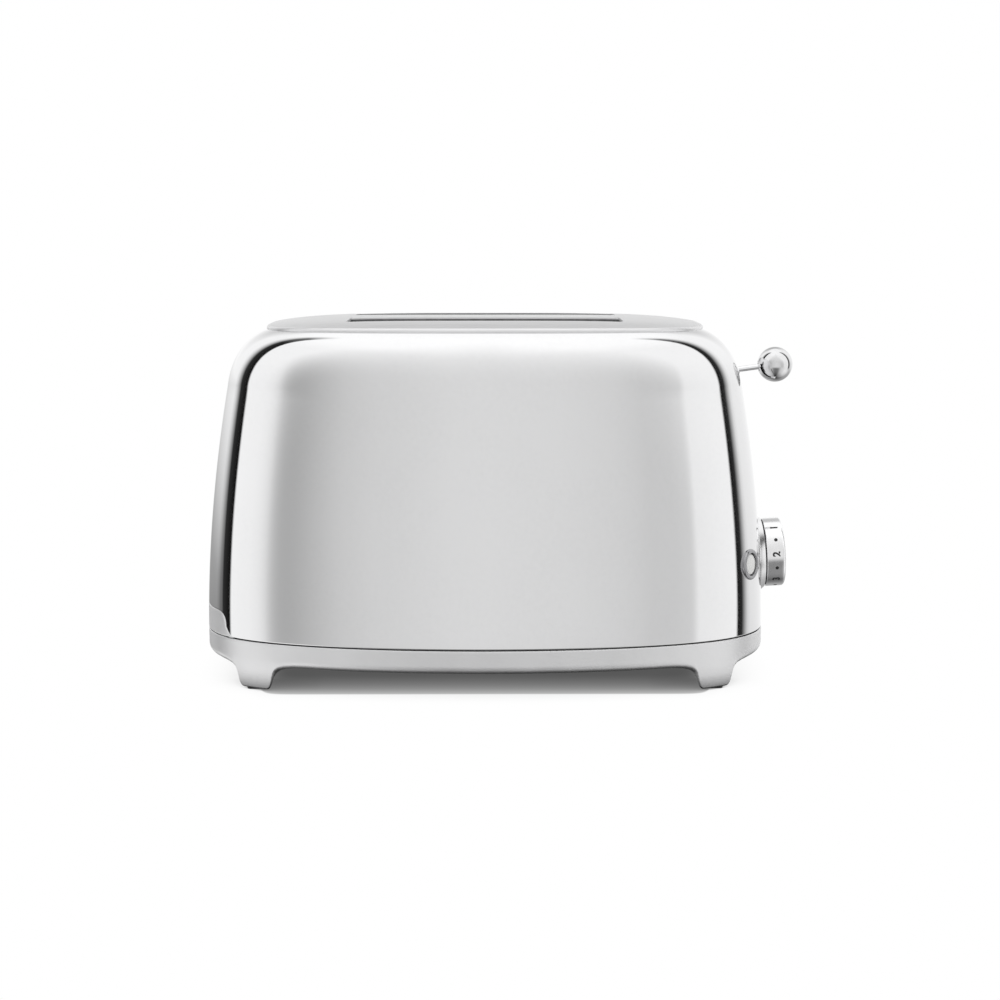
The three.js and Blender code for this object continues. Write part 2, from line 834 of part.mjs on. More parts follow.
// How far back the base's wall is at a place along it.
function wallAtRear(x) {
  const level = wallLevel(0);
  return level.halfY * (1 - Math.abs(x / level.halfX) ** level.endPower) ** (1 / level.facePower);
}

function makeTerminalBlock() {
  const low = [glandX - terminalWidth / 2, terminalY - terminalDepth / 2, standing];
  const high = [
    glandX + terminalWidth / 2,
    terminalY + terminalDepth / 2,
    standing + terminalHeight,
  ];
  const bores = [-1, 0, 1].map((i) => {
    const x = glandX + i * terminalPitch;
    const from = new THREE.Vector3(x, terminalY - terminalDepth, standing + terminalHeight / 2);
    const to = new THREE.Vector3(x, terminalY + terminalDepth, standing + terminalHeight / 2);
    return bar(from, to, terminalBore, wireSides);
  });
  return cut(block(low, high), bores);
}

// Oven

// Places of the four cages: which slot, which side of it, and the way it closes.
const cages = slotEnds.flatMap((slot) =>
  ends.map((side) => ({
    y: slot * slotMiddle + side * (slotWidth / 2 + cageGap),
    closing: -side,
    name: (slot < 0 ? "front" : "rear") + "_cage_" + (slot * side > 0 ? "outer" : "inner"),
  })),
);

function railSlots(from, to) {
  const reach = cageRadius + runningGap;
  return cages.flatMap(({ y, closing }) =>
    [cageBottom, cageTop].map((z) => {
      const farY = y + closing * cageTravel;
      const low = Math.min(y, farY) - reach;
      const high = Math.max(y, farY) + reach;
      return block([from, low, z - reach], [to, high, z + reach]);
    }),
  );
}

function makeEndFrame(side) {
  const low = side < 0 ? -frameInner - sheet : frameInner;
  const high = low + sheet;
  const height = frameTop - standing;
  const middle = (frameTop + standing) / 2;
  const wall = prism(roundedRectangle(frameDepth, height, frameCorner, 0, middle), "x", low, high);
  const base = block(
    [low, -frameDepth / 2, standing],
    [high, frameDepth / 2, standing + frameCorner],
  );
  const outer = side < 0 ? [low - frameFlange, high] : [low, high + frameFlange];
  const feet = ends.map((half) => {
    const [from, to] = half < 0 ? [-frameDepth / 2, -frameLegY] : [frameLegY, frameDepth / 2];
    return block([outer[0], from, standing], [outer[1], to, standing + sheet]);
  });
  const tabHalf = springY + springRadius + tabSide;
  const tab = block(
    [low, -tabHalf, frameTop - sheet],
    [guideX + tabMargin, tabHalf, frameTop],
  );
  const slits = slotEnds.map((slot) => {
    const y = slot * slotMiddle;
    const half = restThickness / 2 + runningGap;
    return block(
      [low - overrun, y - half, restBottom - carriageTravel - overrun],
      [high + overrun, y + half, restTop + overrun / 2],
    );
  });
  const arch = block(
    [outer[0] - overrun, -frameLegY, standing - overrun],
    [outer[1] + overrun, frameLegY, frameArch],
  );
  const rodHole = bar(
    new THREE.Vector3(guideX, 0, frameTop - overrun),
    new THREE.Vector3(guideX, 0, frameTop + overrun),
    guideRadius + fitGap,
  );
  const whole = joined(side < 0 ? [wall, base, ...feet] : [wall, base, ...feet, tab]);
  const cuts = [...slits, ...railSlots(low - overrun, high + overrun), rodHole];
  return cut(whole, side < 0 ? [...cuts, arch] : cuts);
}

function makeReflector(side) {
  const half = frameInner - fitGap;
  const inner = side * reflectorY;
  const top = frameTop - reflectorDrop;
  const span = (depth, low, high) => {
    const outer = side * (reflectorY + depth);
    const [from, to] = side < 0 ? [outer, inner] : [inner, outer];
    return block([-half, from, low], [half, to, high]);
  };
  return joined([
    span(sheet, standing, top),
    span(reflectorFlange, standing, standing + sheet),
    span(reflectorFlange, top - sheet, top),
  ]);
}

function makeHeater(y) {
  const half = frameInner - fitGap;
  const card = block(
    [-half, y - micaThickness / 2, heaterBottom],
    [half, y + micaThickness / 2, heaterTop],
  );
  const wound = half - ribbonWidth * 3;
  const reach = micaThickness / 2 + ribbonThickness;
  const pitch = (heaterTop - heaterBottom) / (ribbonCount + 1);
  const ribbons = [];
  for (let i = 1; i <= ribbonCount; i++) {
    const z = heaterBottom + i * pitch;
    ribbons.push(
      block([-wound, y - reach, z - ribbonWidth / 2], [wound, y + reach, z + ribbonWidth / 2]),
    );
  }
  return joined([card, ...ribbons]);
}

function makeCage({ y }) {
  const railEnd = frameInner + sheet + railOverhang;
  const rails = [cageBottom, cageTop].map((z) =>
    bar(
      new THREE.Vector3(-railEnd, y, z),
      new THREE.Vector3(railEnd, y, z),
      cageRadius,
      wireSides,
    ),
  );
  const wires = [];
  for (let i = 0; i < cageWireCount; i++) {
    const x = (i / (cageWireCount - 1) - 0.5) * cageWireSpan;
    wires.push(
      bar(
        new THREE.Vector3(x, y, cageBottom),
        new THREE.Vector3(x, y, cageTop),
        cageWireRadius,
        wireSides,
      ),
    );
  }
  return joined([...rails, ...wires]);
}

// Carriage

function guideHole(low, high) {
  return bar(
    new THREE.Vector3(guideX, 0, low),
    new THREE.Vector3(guideX, 0, high),
    guideRadius + runningGap,
  );
}

function leverBar(from, to, radius) {
  const start = new THREE.Vector3(from, 0, rodHeightAt(from));
  const end = new THREE.Vector3(to, 0, rodHeightAt(to));
  return bar(start, end, radius, wireSides * 2);
}

function makeBracket() {
  const outer = bracketX + sheet;
  const plate = block([bracketX, -bracketHalf, yokeBottom], [outer, bracketHalf, bracketTop]);
  const yoke = block([outer - yokeReach, -yokeHalf, yokeBottom], [outer, yokeHalf, yokeTop]);
  const ears = [bottomEar, topEar].map((z) =>
    block([bracketX - earReach, -earHalf, z], [outer, earHalf, z + sheet]),
  );
  return cut(joined([plate, yoke, ...ears]), [
    guideHole(yokeBottom - overrun, bracketTop + overrun),
    leverBar(bracketX - overrun, outer + overrun, rodRadius + fitGap),
  ]);
}

function makeBush() {
  const from = new THREE.Vector3(guideX, 0, bottomEar + sheet + fitGap);
  const to = new THREE.Vector3(guideX, 0, topEar - fitGap);
  return bar(from, to, bushRadius).subtract(guideHole(bottomEar, topEar));
}

function makeBreadRest(side) {
  const y = side * slotMiddle;
  const half = restThickness / 2;
  const reach = frameInner + sheet + railOverhang;
  const strip = block([-reach, y - half, restBottom], [bracketX - fitGap, y + half, restTop]);
  const bars = [];
  for (let i = 0; i < restBarCount; i++) {
    const x = (i / (restBarCount - 1) - 0.5) * restBarSpan;
    bars.push(
      block(
        [x - restBarHeight / 2, y - restBarHalf, restTop - restBarHeight],
        [x + restBarHeight / 2, y + restBarHalf, restTop],
      ),
    );
  }
  return joined([strip, ...bars]);
}

function makeBall() {
  const ball = new THREE.SphereGeometry(ballRadius, roundSides, roundSides / 2);
  ball.rotateX(Math.PI / 2);
  ball.translate(ballX, 0, ballHeight);
  const mouth = ballX - ballRadius - overrun;
  return solid(ball).subtract(leverBar(mouth, rodEnd + fitGap, rodRadius + fitGap));
}

function makeSlotGuard() {
  const low = leverSlotBottom - guardMargin;
  const high = Math.min(leverSlotTop + guardMargin, rimHeight - guardMargin);
  const inside = shellWall + fitGap;
  const layer = bodyForm(-inside, seamHeight).subtract(
    bodyForm(-inside - guardThickness, seamHeight - overrun),
  );
  const area = block([bodyWidth / 4, -guardHalf, low], [bodyWidth / 2, guardHalf, high]);
  const slit = block(
    [bodyWidth / 4, -guardSlit, leverSlotBottom],
    [bodyWidth / 2, guardSlit, leverSlotTop],
  );
  return layer.intersect(area).subtract(slit);
}

function makeKeeper() {
  const half = coreLength / 2 + keeperMargin;
  return block(
    [guideX - coreWidth / 2, magnetY - half, keeperBottom],
    [guideX + coreWidth / 2, magnetY + half - keeperMargin, keeperBottom + keeperThickness],
  );
}

const postPlaces = ends.map((side) => magnetY + side * (coreLength / 2 - postDepth / 2));

function makeCore() {
  const base = block(
    [guideX - coreWidth / 2, magnetY - coreLength / 2, standing],
    [guideX + coreWidth / 2, magnetY + coreLength / 2, standing + coreBase],
  );
  const posts = postPlaces.map((y) =>
    block(
      [guideX - postWidth / 2, y - postDepth / 2, standing],
      [guideX + postWidth / 2, y + postDepth / 2, coreTop],
    ),
  );
  return joined([base, ...posts]);
}

function makeCoil() {
  const low = standing + coreBase + fitGap;
  const high = coreTop - coilDrop;
  const y = postPlaces[1];
  const bore = (grow, from, to) =>
    block(
      [guideX - postWidth / 2 - grow, y - postDepth / 2 - grow, from],
      [guideX + postWidth / 2 + grow, y + postDepth / 2 + grow, to],
    );
  return bore(fitGap + coilWall, low, high).subtract(
    bore(fitGap, low - overrun, high + overrun),
  );
}

// The return spring, one unbroken wire from the carriage's yoke to the frame's top tab.
function makeSpring() {
  const low = yokeTop + fitGap + springWire;
  const high = frameTop - sheet - fitGap - springWire;
  const count = springTurns * springSteps;
  const points = [];
  for (let i = 0; i <= count; i++) {
    const turn = (i / springSteps) * 2 * Math.PI;
    points.push(
      new THREE.Vector3(
        guideX + springRadius * Math.cos(turn),
        springY + springRadius * Math.sin(turn),
        mix(low, high, i / count),
      ),
    );
  }
  const section = new THREE.Shape();
  section.absarc(0, 0, springWire, 0, Math.PI * 2);
  const geometry = new THREE.ExtrudeGeometry(section, {
    steps: count,
    curveSegments: springSides / 2,
    extrudePath: new THREE.CatmullRomCurve3(points),
  });
  return solid(geometry);
}

// Browning control, in the frame of the wall behind the knob

function makeBezel() {
  const profile = [
    [bezelBore, -overrun],
    [bezelRadius, -overrun],
    [bezelRadius, fitGap + runningGap],
    [bezelTopRadius, bezelLength],
    [bezelBore, bezelLength],
    [bezelBore, -overrun],
  ];
  const body = moved(bodyForm(fitGap, seamHeight - overrun), toControl);
  return turned(profile, knobSides).subtract(body);
}

function makeKnob() {
  const back = bezelLength + runningGap;
  const front = back + knobLength;
  const bore = shaftRadius + fitGap;
  const hub = bore + knobHub;
  const rim = knobRadius - knobRound;
  const profile = [
    [0, front - shaftEndCover],
    [bore, front - shaftEndCover],
    [bore, back],
    [hub, back],
    [hub, front - knobSkin - knobRecess],
    [knobRadius - knobSkin, front - knobSkin - knobRecess],
    [knobRadius - knobSkin, back],
    [knobRadius, back],
  ];
  for (let i = 0; i <= cornerSteps; i++) {
    const angle = (i / cornerSteps) * (Math.PI / 2);
    profile.push([
      rim + knobRound * Math.cos(angle),
      front - knobRound + knobRound * Math.sin(angle),
    ]);
  }
  profile.push([rim - knobRound, front - knobRecess], [0, front - knobRecess]);
  return turned(profile, knobSides);
}

function makeShaft() {
  const end = bezelLength + runningGap + knobLength - shaftEndCover - fitGap;
  const start = potRear + potFloor + fitGap;
  return turned([
    [0, start],
    [shaftRadius, start],
    [shaftRadius, end],
    [0, end],
  ]);
}

function makePotentiometer() {
  const bore = shaftRadius + runningGap;
  return turned([
    [0, potRear],
    [potRadius, potRear],
    [potRadius, -potFront],
    [bushOuter, -potFront],
    [bushOuter, bushReach],
    [bore, bushReach],
    [bore, potRear + potFloor],
    [0, potRear + potFloor],
  ]);
}

function makeBoard() {
  const low = standing + boardFoot - knobHeight;
  const width = 2 * (buttonY + boardMargin);
  const middle = (boardRise + low) / 2;
  const shape = roundedRectangle(width, boardRise - low, boardCorner, 0, middle);
  return prism(shape, "x", boardFront - boardThickness, boardFront);
}

// Buttons, in the frame of the wall behind each

function makeButtonRing(frame) {
  const bore = buttonRadius + fitGap;
  const profile = [
    [bore, -ringDepth],
    [ringBarrel, -ringDepth],
    [ringBarrel, -overrun / 2],
    [ringRadius, -overrun / 2],
    [ringRadius, ringHeight / 2],
    [ringRadius - ringHeight / 2, ringHeight],
    [bore, ringHeight],
    [bore, -ringDepth],
  ];
  const body = moved(bodyForm(fitGap, seamHeight - overrun), frame.clone().invert());
  const barrelZone = turned([
    [0, -ringDepth - overrun],
    [ringBarrel + fitGap / 2, -ringDepth - overrun],
    [ringBarrel + fitGap / 2, overrun],
    [0, overrun],
  ]);
  return turned(profile).subtract(body.subtract(barrelZone));
}

function makeButton() {
  const face = buttonStand;
  return turned([
    [0, face - buttonCap - buttonStemLength],
    [buttonStem, face - buttonCap - buttonStemLength],
    [buttonStem, face - buttonCap],
    [buttonRadius, face - buttonCap],
    [buttonRadius, face - buttonCrown],
    [buttonRadius * buttonFaceShare, face],
    [0, face],
  ]);
}

function makeSwitch(frame) {
  const top = buttonStand - buttonCap - buttonStemLength - buttonTravel - fitGap;
  const body = block(
    [top - switchDepth, -switchHalf, -switchHalf],
    [top, switchHalf, switchHalf],
  );
  const behindBoard = block(
    [boardFront - switchDepth * 2, -bodyDepth, -bodyDepth],
    [boardFront + fitGap, bodyDepth, bodyDepth],
  );
  const toButton = frame.clone().invert().multiply(controlFrame);
  return body.subtract(moved(behindBoard, toButton));
}

// Crumb tray

function makeTrayFront() {
  const layer = bodyForm(0, seamHeight - overrun).subtract(
    bodyForm(-trayFrontWall, seamHeight - overrun * 2),
  );
  return layer.intersect(prism(trayFrontShape(0), "x", -bodyWidth / 2 - overrun, -bodyWidth / 4));
}

function makeTray() {
  const inside = trayFrontWall + fitGap;
  const room = (grow, floor, top) =>
    block([-bodyWidth, grow - trayHalf, floor], [trayInner - grow, trayHalf - grow, top]).intersect(
      bodyForm(-inside - grow, seamHeight - overrun),
    );
  return room(0, trayFloor, trayFloor + trayHeight).subtract(
    room(trayWall, trayFloor + trayWall, trayFloor + trayHeight + overrun),
  );
}

function makeRunner(side) {
  const outer = trayHalf + runningGap + runnerSheet;
  const ledge = trayFloor - fitGap;
  const strip = (inner, low, high) => {
    const [from, to] = side < 0 ? [-outer, -inner] : [inner, outer];
    return block([runnerFromEnd - bodyWidth / 2, from, low], [trayInner, to, high]);
  };
  return joined([
    strip(outer - runnerSheet, standing, ledge + runnerGuide),
    strip(outer - runnerDepth, standing, standing + runnerSheet),
    strip(outer - runnerDepth, ledge - runnerSheet, ledge),
  ]);
}

// Assembly

// Adds a solid to a group as a named mesh with a finish of its own.
function place(group, name, finish, shape) {
  const [color, roughness, metalness] = finish;
  const material = new THREE.MeshStandardMaterial({ color, roughness, metalness });
  const mesh = new THREE.Mesh(geometryOf(shape), material);
  mesh.name = name;
  group.add(mesh);
}

function groupAt(parent, matrix) {
  const group = new THREE.Group();
  matrix.decompose(group.position, group.quaternion, group.scale);
  parent.add(group);
  return group;
}

const toaster = new THREE.Group();
// The lever's ball reaches past the body, so the body stands off the middle of the whole width.
toaster.position.x = -(ballX + ballRadius - bodyWidth / 2) / 2;

const chassis = new THREE.Group();
toaster.add(chassis);
place(chassis, "body_shell", polished, makeShell());
place(chassis, "top_panel", brushed, makeTopPanel());
place(chassis, "base", satin, makeBase());
place(chassis, "bottom_plate", plated, makeBottomPlate());
corners.forEach((corner, i) => {
  place(chassis, "foot_pad_" + cornerName(corner), blackRubber, makePad(corner));
  place(chassis, "base_screw_" + cornerName(corner), plated, makeScrew(screwPlaces[i]));
});
place(chassis, "cord_gland", blackPlastic, makeGland());
place(chassis, "terminal_block", white, makeTerminalBlock());
place(chassis, "end_frame_left", plated, makeEndFrame(-1));
place(chassis, "end_frame_right", plated, makeEndFrame(1));
place(chassis, "reflector_front", plated, makeReflector(-1));
place(chassis, "reflector_rear", plated, makeReflector(1));
place(chassis, "heater_front", mica, makeHeater(-heaterY));
place(chassis, "heater_centre", mica, makeHeater(0));
place(chassis, "heater_rear", mica, makeHeater(heaterY));
place(chassis, "tray_runner_front", plated, makeRunner(-1));
place(chassis, "tray_runner_rear", plated, makeRunner(1));
place(chassis, "magnet_core", plated, makeCore());
place(chassis, "magnet_coil", copper, makeCoil());
place(chassis, "return_spring", wireSteel, makeSpring());
place(chassis, "lever_slot_guard", blackPlastic, makeSlotGuard());
const guideFoot = new THREE.Vector3(guideX, 0, standing);
const guideTip = new THREE.Vector3(guideX, 0, frameTop + guideOver);
place(chassis, "guide_rod", wireSteel, bar(guideFoot, guideTip, guideRadius));

const carriage = new THREE.Group();
toaster.add(carriage);
place(carriage, "carriage_bracket", plated, makeBracket());
place(carriage, "guide_bush", white, makeBush());
place(carriage, "bread_rest_front", wireSteel, makeBreadRest(-1));
place(carriage, "bread_rest_rear", wireSteel, makeBreadRest(1));
place(carriage, "keeper_plate", plated, makeKeeper());
place(carriage, "lever_rod", polished, leverBar(bracketX - rodTail, rodEnd, rodRadius));
place(carriage, "lever_ball", polished, makeBall());

cages.forEach((cage) => place(toaster, cage.name, wireSteel, makeCage(cage)));

const control = groupAt(toaster, controlFrame);
place(control, "knob_bezel", polished, makeBezel());
place(control, "browning_knob", polished, makeKnob());
place(control, "knob_shaft", wireSteel, makeShaft());
place(control, "potentiometer", plated, makePotentiometer());
place(control, "control_board", boardGreen, makeBoard());

ends.forEach((side) => {
  const frame = wallFrame(side * buttonY, buttonHeight);
  const group = groupAt(toaster, frame);
  const end = side < 0 ? "front" : "rear";
  place(group, "button_ring_" + end, polished, makeButtonRing(frame));
  place(group, "button_" + end, white, makeButton());
  place(group, "button_switch_" + end, blackPlastic, makeSwitch(frame));
});

const tray = new THREE.Group();
toaster.add(tray);
place(tray, "crumb_tray", plated, makeTray());
place(tray, "tray_front", satin, makeTrayFront());

export default toaster;
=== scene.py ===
import json
import math

import bmesh
import bpy
import numpy as np
from mathutils import Matrix, Vector
from mathutils.geometry import delaunay_2d_cdt

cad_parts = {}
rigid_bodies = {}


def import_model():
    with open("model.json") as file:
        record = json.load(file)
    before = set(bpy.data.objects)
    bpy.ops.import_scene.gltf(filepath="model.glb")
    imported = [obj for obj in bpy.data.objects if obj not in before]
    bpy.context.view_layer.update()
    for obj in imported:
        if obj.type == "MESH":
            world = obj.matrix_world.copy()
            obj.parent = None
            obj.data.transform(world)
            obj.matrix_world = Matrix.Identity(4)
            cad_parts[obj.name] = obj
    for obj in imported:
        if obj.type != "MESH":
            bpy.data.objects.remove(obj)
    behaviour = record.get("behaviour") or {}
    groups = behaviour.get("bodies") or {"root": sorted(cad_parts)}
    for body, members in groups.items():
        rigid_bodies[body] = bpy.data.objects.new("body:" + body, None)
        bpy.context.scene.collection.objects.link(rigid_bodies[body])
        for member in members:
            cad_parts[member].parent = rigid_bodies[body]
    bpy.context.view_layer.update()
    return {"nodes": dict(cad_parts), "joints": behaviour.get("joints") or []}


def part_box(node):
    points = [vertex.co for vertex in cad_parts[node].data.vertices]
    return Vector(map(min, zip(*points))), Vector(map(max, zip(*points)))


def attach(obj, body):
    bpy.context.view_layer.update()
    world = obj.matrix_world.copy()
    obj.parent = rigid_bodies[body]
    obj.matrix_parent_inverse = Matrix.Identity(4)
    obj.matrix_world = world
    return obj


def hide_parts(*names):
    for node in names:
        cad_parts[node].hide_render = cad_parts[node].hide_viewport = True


for startUp in list(bpy.data.objects):
    bpy.data.objects.remove(startUp)

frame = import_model()

mm = 0.001
print("frame loaded,", len(frame["nodes"]), "nodes")


def addObject(name, data):
    thing = bpy.data.objects.new(name, data)
    bpy.context.scene.collection.objects.link(thing)
    return thing


# Camera, fitted to the outline of the body in the photograph
cameraSetup = {"place": (-0.00678, -1.05, 0.2455), "lookDown": 8.267, "turn": 0.326, "lens": 67.07}


def makeCamera(place, lookDown, turn, lens):
    data = bpy.data.cameras.new("studioCamera")
    data.sensor_width = 36
    data.lens = lens
    data.clip_start = 0.01
    data.clip_end = 50
    camera = addObject("studioCamera", data)
    camera.location = place
    camera.rotation_euler = (math.radians(90 - lookDown), 0, -math.radians(turn))
    bpy.context.scene.camera = camera


makeCamera(**cameraSetup)


# Small helpers for meshes
def mixed(a, b, share):
    return a + (b - a) * share


def smooth(piece, sharp):
    piece.data.shade_smooth()
    piece.data.set_sharp_from_angle(angle=math.radians(sharp))


def tidyMesh(piece):
    work = bmesh.new()
    work.from_mesh(piece.data)
    bmesh.ops.remove_doubles(work, verts=work.verts, dist=1e-6)
    bmesh.ops.recalc_face_normals(work, faces=work.faces)
    work.to_mesh(piece.data)
    work.free()


def makePiece(name, points, faces, material=None, sharp=30):
    mesh = bpy.data.meshes.new(name)
    mesh.from_pydata([tuple(p) for p in points], [], faces)
    mesh.validate()
    if material:
        mesh.materials.append(material)
    piece = addObject(name, mesh)
    tidyMesh(piece)
    smooth(piece, sharp)
    return piece


def settle(piece, body, slot, *nodes):
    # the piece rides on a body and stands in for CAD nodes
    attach(piece, body)
    if nodes:
        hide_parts(*nodes)


def bake(piece):
    # the modifiers' result becomes the piece's own mesh
    graph = bpy.context.evaluated_depsgraph_get()
    mesh = bpy.data.meshes.new_from_object(piece.evaluated_get(graph))
    piece.modifiers.clear()
    old = piece.data
    piece.data = mesh
    bpy.data.meshes.remove(old)
    mesh.name = piece.name


def drop(piece):
    mesh = piece.data
    bpy.data.objects.remove(piece)
    bpy.data.meshes.remove(mesh)


def cutAway(piece, tools):
    material = piece.data.materials[0]
    for tool in tools:
        step = piece.modifiers.new("cut", "BOOLEAN")
        step.operation = "DIFFERENCE"
        step.solver = "EXACT"
        step.object = tool
    bake(piece)
    piece.data.materials.clear()
    piece.data.materials.append(material)
    for tool in tools:
        drop(tool)


def joinPieces(name, pieces, material):
    work = bmesh.new()
    for piece in pieces:
        work.from_mesh(piece.data)
        drop(piece)
    mesh = bpy.data.meshes.new(name)
    work.to_mesh(mesh)
    work.free()
    mesh.materials.append(material)
    return addObject(name, mesh)


def skinRings(rings, closed=False):
    # rings of equally many points, joined by quads; the last joins the first, or both get a cap
    count = len(rings[0])
    points = [p for ring in rings for p in ring]
    faces = []
    for r in range(len(rings) if closed else len(rings) - 1):
        a, b = r * count, (r + 1) % len(rings) * count
        for i in range(count):
            j = (i + 1) % count
            faces.append((a + i, a + j, b + j, b + i))
    if not closed:
        faces.append(tuple(reversed(range(count))))
        faces.append(tuple(range(len(points) - count, len(points))))
    return points, faces


def turnProfile(profile, place, sides):
    # a profile of (radius, height) pairs round the place's z axis; radius 0 gives a pole
    points, rows, faces = [], [], []
    for radius, height in profile:
        first = len(points)
        for i in range(sides if radius > 1e-7 else 1):
            angle = i / sides * math.tau
            points.append(place @ Vector((radius * math.cos(angle), radius * math.sin(angle), height)))
        rows.append(range(first, len(points)))
    for low, high in zip(rows, rows[1:]):
        for i in range(sides):
            j = (i + 1) % sides
            corners = [row[k % len(row)] for row, k in ((low, i), (low, j), (high, j), (high, i))]
            corners = tuple(dict.fromkeys(corners))
            if len(corners) > 2:
                faces.append(corners)
    return points, faces


def turnedPiece(name, profile, place, material, sides):
    return makePiece(name, *turnProfile(profile, place, sides), material)


def makeCylinder(place, radius, low, high, sides=40):
    profile = [(0, low), (radius, low), (radius, high), (0, high)]
    return turnedPiece("cylinder", profile, place, None, sides)


def roundCorner(centre, radius, start, end, steps):
    # points of an arc as (radius, height) pairs, angles in degrees
    angles = [math.radians(mixed(start, end, i / steps)) for i in range(steps + 1)]
    return [(centre[0] + radius * math.cos(a), centre[1] + radius * math.sin(a)) for a in angles]


def axisPlace(origin, axis, upward=(0, 0, 1)):
    # a matrix whose z runs along the axis and whose y points as near upward as it can
    z = Vector(axis).normalized()
    x = Vector(upward).cross(z).normalized()
    place = Matrix((x, z.cross(x), z)).transposed().to_4x4()
    place.translation = origin
    return place


def extrudeShape(name, shape, place, low, high, material=None):
    # a closed 2-D outline in the place's xy plane, carried along its z
    rings = [[place @ Vector((x, y, z)) for x, y in shape] for z in (low, high)]
    return makePiece(name, *skinRings(rings), material)


def spacedOut(outline, gap):
    # the closed outline with even steps of about the gap on its long stretches
    dense = []
    for a, b in zip(outline, outline[1:] + outline[:1]):
        length = math.dist(a, b)
        parts = max(1, round(length / gap)) if length > 1e-9 else 0
        dense += [(mixed(a[0], b[0], i / parts), mixed(a[1], b[1], i / parts)) for i in range(parts)]
    return dense


def roundedBox(middle, width, height, radius, steps, gap):
    # outline of a rectangle with round corners, counterclockwise
    outline = []
    for quarter, (sideX, sideY) in enumerate(((1, 1), (-1, 1), (-1, -1), (1, -1))):
        centre = (middle[0] + sideX * (width / 2 - radius), middle[1] + sideY * (height / 2 - radius))
        outline += roundCorner(centre, radius, quarter * 90, quarter * 90 + 90, steps)
    return spacedOut(outline, gap)


def insetOutline(outline, distance):
    # each point moves inwards along its own normal; the outline runs counterclockwise
    pts = np.array(outline)

    def unit(rows):
        return rows / np.linalg.norm(rows, axis=1)[:, None]

    along = unit(unit(np.roll(pts, -1, 0) - pts) + unit(pts - np.roll(pts, 1, 0)))
    inward = np.stack([-along[:, 1], along[:, 0]], 1)
    return [tuple(p) for p in pts + inward * distance]


def insideOutline(point, outline):
    x, y = point
    inside = False
    for (x1, y1), (x2, y2) in zip(outline, outline[1:] + outline[:1]):
        if (y1 > y) != (y2 > y) and x < (x2 - x1) * (y - y1) / (y2 - y1) + x1:
            inside = not inside
    return inside


def inRegion(point, border, gaps):
    return insideOutline(point, border) and not any(insideOutline(point, gap) for gap in gaps)


def sheetMesh(outer, holes, insets, spacing, place, skirt, lips=()):
    # A flat region with rounded borders. place(x, y, inset) gives the point in space, with inset the
    # distance from the nearest border. The functions in skirt carry the outer border on, row by row,
    # and those in lips the borders of the holes.
    flat, info, edges = [], [], []
    for step in insets:
        for loop in [insetOutline(outer, step)] + [insetOutline(hole, -step) for hole in holes]:
            first = len(flat)
            flat += loop
            info += [step] * len(loop)
            edges += [(first + i, first + (i + 1) % len(loop)) for i in range(len(loop))]
    reach = insets[-1] + spacing * 0.55
    border, gaps = insetOutline(outer, reach), [insetOutline(hole, -reach) for hole in holes]
    (lowX, lowY), (highX, highY) = np.min(outer, 0), np.max(outer, 0)
    for i in range(int((highX - lowX) / spacing) + 2):
        for j in range(int((highY - lowY) / spacing) + 2):
            point = (lowX + (i + 0.5 * (j % 2)) * spacing, lowY + j * spacing)
            if inRegion(point, border, gaps):
                flat.append(point)
                info.append(insets[-1])
    found, _, triangles, origin, _, _ = delaunay_2d_cdt([Vector(p) for p in flat], edges, [], 0, 1e-7)
    points = [place(p.x, p.y, info[source[0]] if source else insets[-1])
              for p, source in zip(found, origin)]
    faces = []
    for corners in triangles:
        centre = sum((found[i] for i in corners), Vector((0, 0))) / len(corners)
        if inRegion(centre, outer, holes):
            faces.append(tuple(corners))
    where = {s: k for k, source in enumerate(origin) for s in source}
    first = 0
    for loop, rows, outward in [(outer, skirt, True)] + [(hole, lips, False) for hole in holes]:
        last = [where[first + i] for i in range(len(loop))]
        for onward in rows:
            row = range(len(points), len(points) + len(loop))
            points += [onward(x, y) for x, y in loop]
            for i in range(len(loop)):
                j = (i + 1) % len(loop)
                face = (last[i], row[i], row[j], last[j])
                faces.append(face if outward else face[::-1])
            last = row
        first += len(loop)
    return points, faces


# Node trees
socketKinds = {tuple: "Vector", float: "Float", int: "Int"}


def setInputs(tree, node, inputs):
    # each input takes a value or a link from another node's output
    for key, value in inputs.items():
        if isinstance(value, bpy.types.NodeSocket):
            tree.links.new(value, node.inputs[key])
        else:
            node.inputs[key].default_value = value


def addNode(tree, kind, inputs=None, **settings):
    node = tree.nodes.new(kind)
    for key, value in settings.items():
        setattr(node, key, value)
    setInputs(tree, node, inputs or {})
    return node


def newGroup(name, kind, inputs, outputs):
    # sockets by name with their start values; a string is the kind of a socket without one
    tree = bpy.data.node_groups.new(name, kind)
    for way, sockets in (("INPUT", inputs), ("OUTPUT", outputs)):
        for socket, value in sockets.items():
            what = value if isinstance(value, str) else socketKinds[type(value)]
            item = tree.interface.new_socket(name=socket, in_out=way, socket_type="NodeSocket" + what)
            if what != value:
                item.default_value = value
    return tree, tree.nodes.new("NodeGroupInput").outputs, tree.nodes.new("NodeGroupOutput")


def reckon(tree, how, first, second=0):
    return addNode(tree, "ShaderNodeMath", {0: first, 1: second}, operation=how).outputs[0]


def scaled(tree, vector, share):
    return addNode(tree, "ShaderNodeVectorMath", {0: vector, "Scale": share}, operation="SCALE").outputs[0]


def noiseOf(tree, vector, scale, detail, roughness=0.5, distortion=0):
    return addNode(tree, "ShaderNodeTexNoise", {"Vector": vector, "Scale": scale, "Detail": detail,
                                                "Roughness": roughness, "Distortion": distortion}).outputs[0]


def spread(tree, value, fromMin, fromMax, toMin=0, toMax=1):
    return addNode(tree, "ShaderNodeMapRange", {"Value": value, "From Min": fromMin, "From Max": fromMax,
                                                "To Min": toMin, "To Max": toMax}).outputs["Result"]


